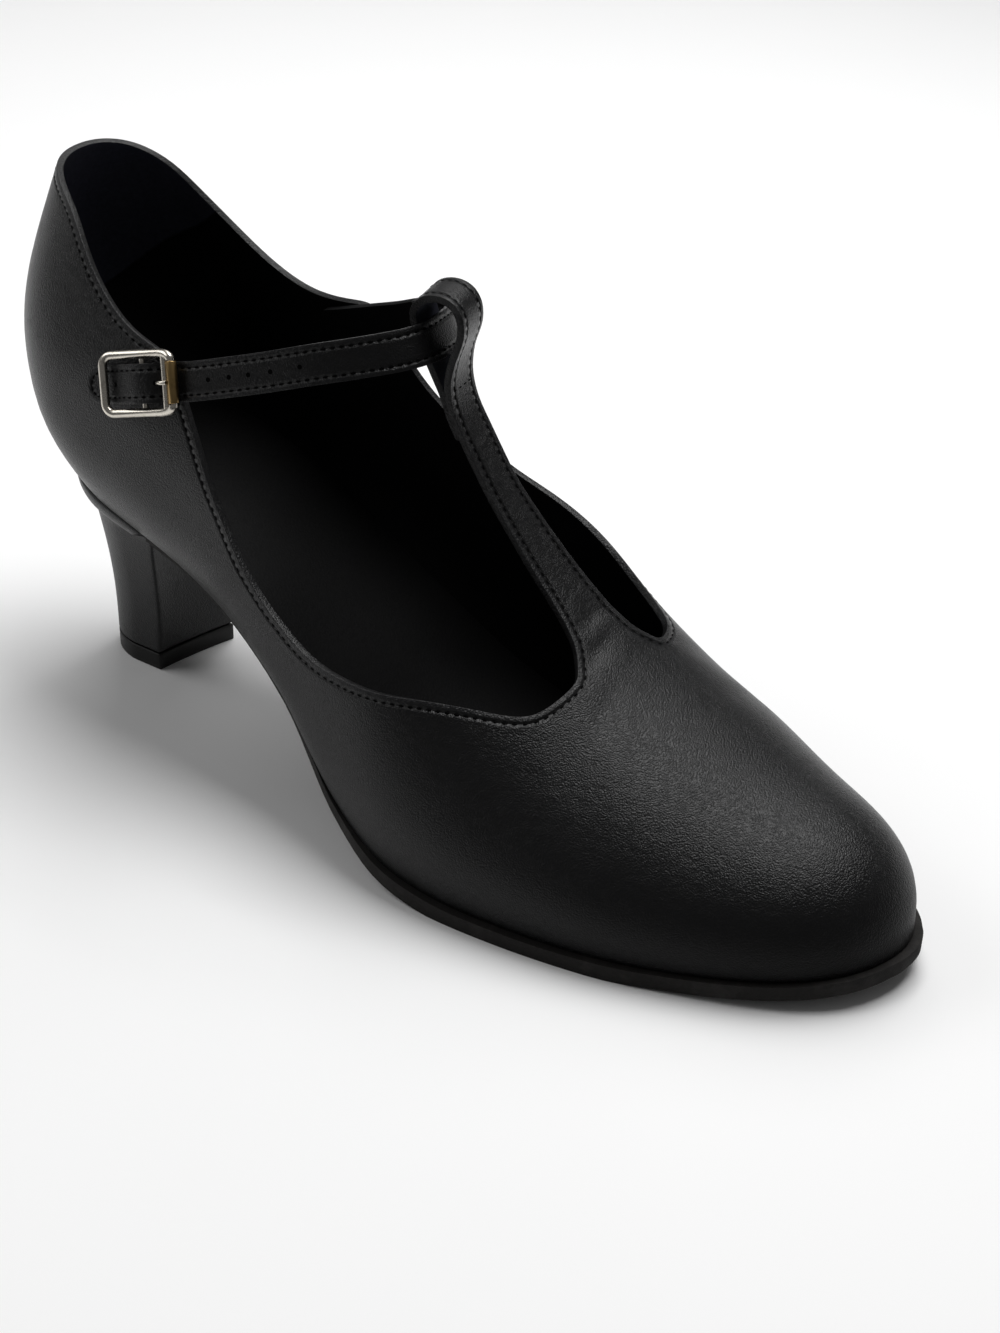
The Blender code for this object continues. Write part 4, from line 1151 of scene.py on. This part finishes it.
leatherLook = {
    # the third colour is the painted shade along the stitch groove; the second is the paler tone of grain, rubs and
    # the rim's wear and painted highlight
    "colour": (0.0030, 0.0030, 0.0032), "wornAndSheen": (0.012, 0.012, 0.013), "line": (0.0006, 0.0006, 0.0006),
    "grain": 2700.0, "grainDepth": 0.00013, "grainBump": 0.8, "seamDepth": 0.00036,
    "rough": 0.33, "roughSpan": 0.12, "rubScale": 210.0, "rubLevel": 0.60, "rubRough": 0.10,
    # how strongly the grain's tone, rubs, the painted shade in the seam's groove and the edge's wear and painted
    # highlight show in the colour
    "toneShare": 0.35, "rubShare": 0.22, "grooveShadeShare": 0.2, "edgeWearAndSheenShare": 0.35}


def leatherMaterial(name, seam=None, rough=leatherLook["rough"], colour=leatherLook["colour"]):
    look = leatherLook
    mat, tree, shader, place = newMaterial(name, Specular_IOR_Level=0.26, Coat_Weight=0.03, Coat_Roughness=0.30)
    skin = useGroup(tree, grainGroup, Vector=place, Grain=look["grain"])
    rubs = useGroup(tree, wearGroup, Vector=place, Scale=look["rubScale"], Level=look["rubLevel"]).outputs["Mask"]
    tint = mixColour(tree, maths(tree, 'MULTIPLY', skin.outputs["Tone"], look["toneShare"]), colour, look["wornAndSheen"])
    tint = mixColour(tree, maths(tree, 'MULTIPLY', rubs, look["rubShare"]), tint, look["wornAndSheen"])
    roughness = spread(tree, skin.outputs["Cloud"], look["roughSpan"], rough - 0.5 * look["roughSpan"])
    roughness = maths(tree, 'ADD', roughness, maths(tree, 'MULTIPLY', rubs, look["rubRough"]))
    bump = bumpOf(tree, skin.outputs["Height"], look["grainDepth"], look["grainBump"])
    if seam:
        groove = useGroup(tree, grooveGroup, Distance=attribute(tree, "rimDistance"), Place=seam)
        # painted shade: the stitch groove is drawn darker in the colour
        tint = mixColour(tree, maths(tree, 'MULTIPLY', groove.outputs["Line"], look["grooveShadeShare"]), tint, look["line"])
        # wear and painted highlight: the leather near the rim is drawn paler
        tint = mixColour(tree, maths(tree, 'MULTIPLY', groove.outputs["EdgeWearAndSheen"], look["edgeWearAndSheenShare"]), tint, look["wornAndSheen"])
        bump = bumpOf(tree, groove.outputs["Height"], look["seamDepth"], 1.0, bump)
    finish(tree, shader, tint, roughness, bump)
    return mat


def liningMaterial():
    # thin lining leather, with a brushed heel grip round the back of the foot
    mat, tree, shader, place = newMaterial("lining", Specular_IOR_Level=0.12)
    skin = useGroup(tree, grainGroup, Vector=place, Grain=2100.0, Waves=90.0)
    nap = noise(tree, place, 900.0, 5.0, 0.7).outputs["Fac"]
    gripTint = mixColour(tree, nap, (0.007, 0.0075, 0.012), (0.022, 0.023, 0.034))
    clothTint = mixColour(tree, skin.outputs["Cloud"], (0.0008, 0.0008, 0.0009), (0.0030, 0.0030, 0.0033))
    step = maths(tree, 'MULTIPLY', maths(tree, 'ADD', attribute(tree, "heelGrip"), -0.5), 40.0)
    step = maths(tree, 'ADD', step, 0.5, clamp=True)
    tint = mixColour(tree, step, clothTint, gripTint)
    lift = bumpOf(tree, step, 0.0006, 1.0)
    finish(tree, shader, tint, spread(tree, step, 0.30, 0.58), bumpOf(tree, nap, 0.00012, 0.7, lift))
    return mat


def sockMaterial():
    mat, tree, shader, place = newMaterial("sock", Specular_IOR_Level=0.07)
    skin = useGroup(tree, grainGroup, Vector=place, Grain=1900.0, Waves=45.0)
    tint = mixColour(tree, skin.outputs["Cloud"], (0.0010, 0.0010, 0.0011), (0.0034, 0.0034, 0.0036))
    finish(tree, shader, tint, spread(tree, skin.outputs["Tone"], 0.2, 0.50),
           bumpOf(tree, skin.outputs["Height"], 0.00006, 0.7))
    return mat


def suedeMaterial():
    # brushed sole leather: short nap with pale rubs
    mat, tree, shader, place = newMaterial("soleLeather", Specular_IOR_Level=0.25)
    nap = noise(tree, place, 1300.0, 6.0, 0.75).outputs["Fac"]
    cloud = noise(tree, place, 55.0, 4.0).outputs["Fac"]
    rubs = useGroup(tree, wearGroup, Vector=place, Scale=75.0, Level=0.52).outputs["Mask"]
    tint = mixColour(tree, nap, (0.006, 0.0055, 0.005), (0.022, 0.020, 0.019))
    tint = mixColour(tree, maths(tree, 'MULTIPLY', rubs, 0.35), tint, (0.045, 0.042, 0.040))
    finish(tree, shader, tint, spread(tree, cloud, 0.25, 0.62), bumpOf(tree, nap, 0.00018, 0.8))
    return mat


def rubberMaterial():
    mat, tree, shader, place = newMaterial("liftRubber", Specular_IOR_Level=0.28)
    speck = noise(tree, place, 1500.0, 4.0).outputs["Fac"]
    rubs = useGroup(tree, wearGroup, Vector=place, Scale=260.0, Level=0.56).outputs["Mask"]
    tint = mixColour(tree, speck, (0.0030, 0.0030, 0.0030), (0.0090, 0.0088, 0.0085))
    tint = mixColour(tree, maths(tree, 'MULTIPLY', rubs, 0.3), tint, (0.03, 0.029, 0.0275))
    finish(tree, shader, tint, spread(tree, speck, 0.2, 0.34), bumpOf(tree, speck, 0.00005, 0.6))
    return mat


def metalMaterial(name, colour, rough, dark):
    mat, tree, shader, place = newMaterial(name, Metallic=1.0)
    haze = noise(tree, place, 700.0, 5.0, 0.6).outputs["Fac"]
    rubs = useGroup(tree, wearGroup, Vector=place, Scale=420.0, Level=0.58).outputs["Mask"]
    tint = mixColour(tree, maths(tree, 'MULTIPLY', rubs, 0.5), colour, dark)
    finish(tree, shader, tint, spread(tree, haze, 0.16, rough - 0.08), bumpOf(tree, haze, 0.00003, 0.4))
    return mat


def threadMaterial():
    mat, tree, shader, place = newMaterial("thread", Specular_IOR_Level=0.03)
    twist = add(tree, 'ShaderNodeTexWave', {"Vector": place, "Scale": 900.0, "Distortion": 2.0}).outputs["Fac"]
    tint = mixColour(tree, twist, (0.0004, 0.0004, 0.0004), (0.0016, 0.0016, 0.0017))
    finish(tree, shader, tint, spread(tree, twist, 0.2, 0.45), bumpOf(tree, twist, 0.00008, 0.6))
    return mat


def setMaterials(obj, *mats):
    obj.data.materials.clear()
    for mat in mats:
        obj.data.materials.append(mat)


def setIndexed(obj, *mats):
    # materials by the face numbers that the wall modifiers wrote
    kept = [f.material_index for f in obj.data.polygons]
    setMaterials(obj, *mats)
    obj.data.polygons.foreach_set("material_index", kept)


upperLeather = leatherMaterial("upperLeather", seam=upperSizes["stitchIn"])
# wear and painted highlight: the rim faces are drawn a little lighter than the upper
edgeLeather = leatherMaterial("foldedEdge", rough=0.34, colour=(0.0055, 0.0055, 0.0058))
# painted light: the heel's cover is the upper's leather, drawn lighter to stand for the light falling on the heel;
# the buckle's tab takes it too
heelLeatherPaintedLight = leatherMaterial("heelLeatherPaintedLight", rough=0.42, colour=(0.0110, 0.0110, 0.0112))
strapLeather = leatherMaterial("strapLeather", seam=strapSizes["stitchIn"])
thread = threadMaterial()
nickel = metalMaterial("nickelPlate", (0.66, 0.62, 0.55), 0.26, (0.24, 0.21, 0.17))
brass = metalMaterial("brassPlate", (0.34, 0.23, 0.10), 0.32, (0.10, 0.06, 0.025))
print("materials made")

# Heel grip on the inside of the counter: its lower edge as station and height share
gripLine = [(.000, .370), (.012, .404), (.018, .440), (.027, .490), (.039, .545), (.054, .600), (.071, .650),
            (.090, .700), (.107, .756), (.130, .840), (.150, 1.10)]
skinPoints = coords(upperSkin) - floorShift
skinShare = (skinPoints[:, 2] - soleLine(skinPoints[:, 0])) / last["counterHeight"]
gripEdge = np.interp(skinPoints[:, 0] / length, [row[0] for row in gripLine], [row[1] for row in gripLine])
setAttribute(upperSkin, "heelGrip", np.clip((skinShare - gripEdge) * 3 + 0.5, 0, 1))

lining = liningMaterial()
setIndexed(upperSkin, upperLeather, lining, edgeLeather)
setMaterials(insolePiece, sockMaterial())
setMaterials(outsolePiece, suedeMaterial())
setMaterials(heelPiece, heelLeatherPaintedLight)
setMaterials(liftPiece, rubberMaterial())
setIndexed(strapSheet, strapLeather, edgeLeather, lining)
# painted shade: the strap's end inside the shoe takes the dark lining material
alongValues = [entry.value for entry in strapSheet.data.attributes["strapAlong"].data]
for face in strapSheet.data.polygons:
    fromEnd = bandRun[-1] - min(alongValues[v] for v in face.vertices)
    if fromEnd < strapSizes["shadedBothFaces"] or (fromEnd < strapSizes["shadedInnerFace"] and face.normal.y < 0.3):
        face.material_index = 2

for obj in (upperStitches, foldStitches, strapStitches, holeShadePieces):
    setMaterials(obj, thread)
setMaterials(framePiece, nickel)
setMaterials(prongPiece, nickel)
setMaterials(rollerSleeve, brass)
setMaterials(tabLoop, heelLeatherPaintedLight)

keep(upperSkin, "upper", "upper")
keep(upperStitches, "upper")
keep(foldStitches, "upper")
keep(outsolePiece, "outsole", "outsole")
keep(insolePiece, "insole", "insole")
keep(heelPiece, "heel", "heel")
keep(liftPiece, "top_lift", "top_lift")
keep(strapSheet, "ankle_strap", "ankle_strap")
keep(strapStitches, "ankle_strap")
keep(holeShadePieces, "ankle_strap")
keep(framePiece, "buckle_frame", "buckle_frame")
keep(rollerSleeve, "buckle_roller", "buckle_roller")
keep(prongPiece, "buckle_prong", "buckle_prong")
keep(tabLoop, "buckle_tab", "buckle_tab")


# Floor, light and camera
studio = {
    "floor": (0.93, 0.93, 0.93), "world": (1.0, 1.0, 1.0), "worldStrength": 0.12,
    # azimuth, elevation, distance, width, height, power
    "lights": [(178, 72, 1.0, 0.70, 0.6, 9.2), (-66, 36, 1.2, 0.9, 0.6, 3.4), (215, 45, 1.1, 0.6, 0.5, 2.2)],
    "frontWay": (0.80, -0.60, 0.0), "frontFrom": 0.030, "frontOver": 0.10, "frontShade": 0.92,
    "azimuth": 37.27, "elevation": 32.65, "roll": 1.85, "distance": 0.45318,
    "target": (0.14743, -0.01804, 0.04999), "lens": 58.10}

bpy.ops.object.select_all(action='DESELECT')
bpy.ops.mesh.primitive_plane_add(size=6.0, location=(0, 0, 0))
floor = bpy.context.object
floor.name = floor.data.name = "studioFloor"
floorPaper, floorTree, floorShader, floorPlace = newMaterial("floorPaper", Roughness=0.9, Specular_IOR_Level=0.1)
paper = noise(floorTree, floorPlace, 8.0, 2.0)
paperTint = mixColour(floorTree, paper.outputs["Fac"], studio["floor"], (0.95, 0.95, 0.95))
# the paper in front of the toe is shaded from the leather's own reflections
rays = add(floorTree, 'ShaderNodeLightPath')
frontWays = add(floorTree, 'ShaderNodeVectorMath', {0: floorPlace, 1: studio["frontWay"]}, operation='DOT_PRODUCT')
frontShare = maths(floorTree, 'MULTIPLY', maths(floorTree, 'ADD', frontWays.outputs["Value"], -studio["frontFrom"]),
                   1 / studio["frontOver"], clamp=True)
flag = maths(floorTree, 'MULTIPLY', maths(floorTree, 'MULTIPLY', frontShare, rays.outputs["Is Glossy Ray"]),
             studio["frontShade"])
paperTint = mixColour(floorTree, flag, paperTint, (0.02, 0.02, 0.02))
floorTree.links.new(paperTint, floorShader.inputs["Base Color"])
setMaterials(floor, floorPaper)


def viewAxes(azimuth, elevation, roll):
    # right, up and back ways of a camera at the given angles
    az, el, ro = [math.radians(a) for a in (azimuth, elevation, roll)]
    back = Vector((math.sin(az) * math.cos(el), -math.cos(az) * math.cos(el), math.sin(el)))
    right = Vector((math.cos(az), math.sin(az), 0))
    up = back.cross(right)
    return right * math.cos(ro) + up * math.sin(ro), up * math.cos(ro) - right * math.sin(ro), back


def placeObject(obj, spot, axes):
    right, up, back = axes
    matrix = Matrix([list(row) for row in zip(right, up, back)]).to_4x4()
    matrix.translation = spot
    obj.matrix_world = matrix


middle = Vector(studio["target"]) + Vector(floorShift)
for i, (azimuth, elevation, distance, wide, tall, power) in enumerate(studio["lights"]):
    lamp = bpy.data.lights.new("softbox%d" % i, 'AREA')
    lamp.shape = 'RECTANGLE'
    lamp.size, lamp.size_y, lamp.energy = wide, tall, power
    box = bpy.data.objects.new("softbox%d" % i, lamp)
    bpy.context.scene.collection.objects.link(box)
    axes = viewAxes(azimuth, elevation, 0)
    placeObject(box, middle + axes[2] * distance, axes)

world = bpy.data.worlds.new("studio")
bpy.context.scene.world = world
world.use_nodes = True
world.node_tree.nodes["Background"].inputs["Color"].default_value = (*studio["world"], 1.0)
world.node_tree.nodes["Background"].inputs["Strength"].default_value = studio["worldStrength"]
bpy.context.scene.view_settings.view_transform = 'Standard'

camera = bpy.data.objects.new("camera", bpy.data.cameras.new("camera"))
bpy.context.scene.collection.objects.link(camera)
camera.data.sensor_width = 36.0
camera.data.lens = studio["lens"]
axes = viewAxes(studio["azimuth"], studio["elevation"], studio["roll"])
placeObject(camera, middle + axes[2] * studio["distance"], axes)
bpy.context.scene.camera = camera

print("scene ready")
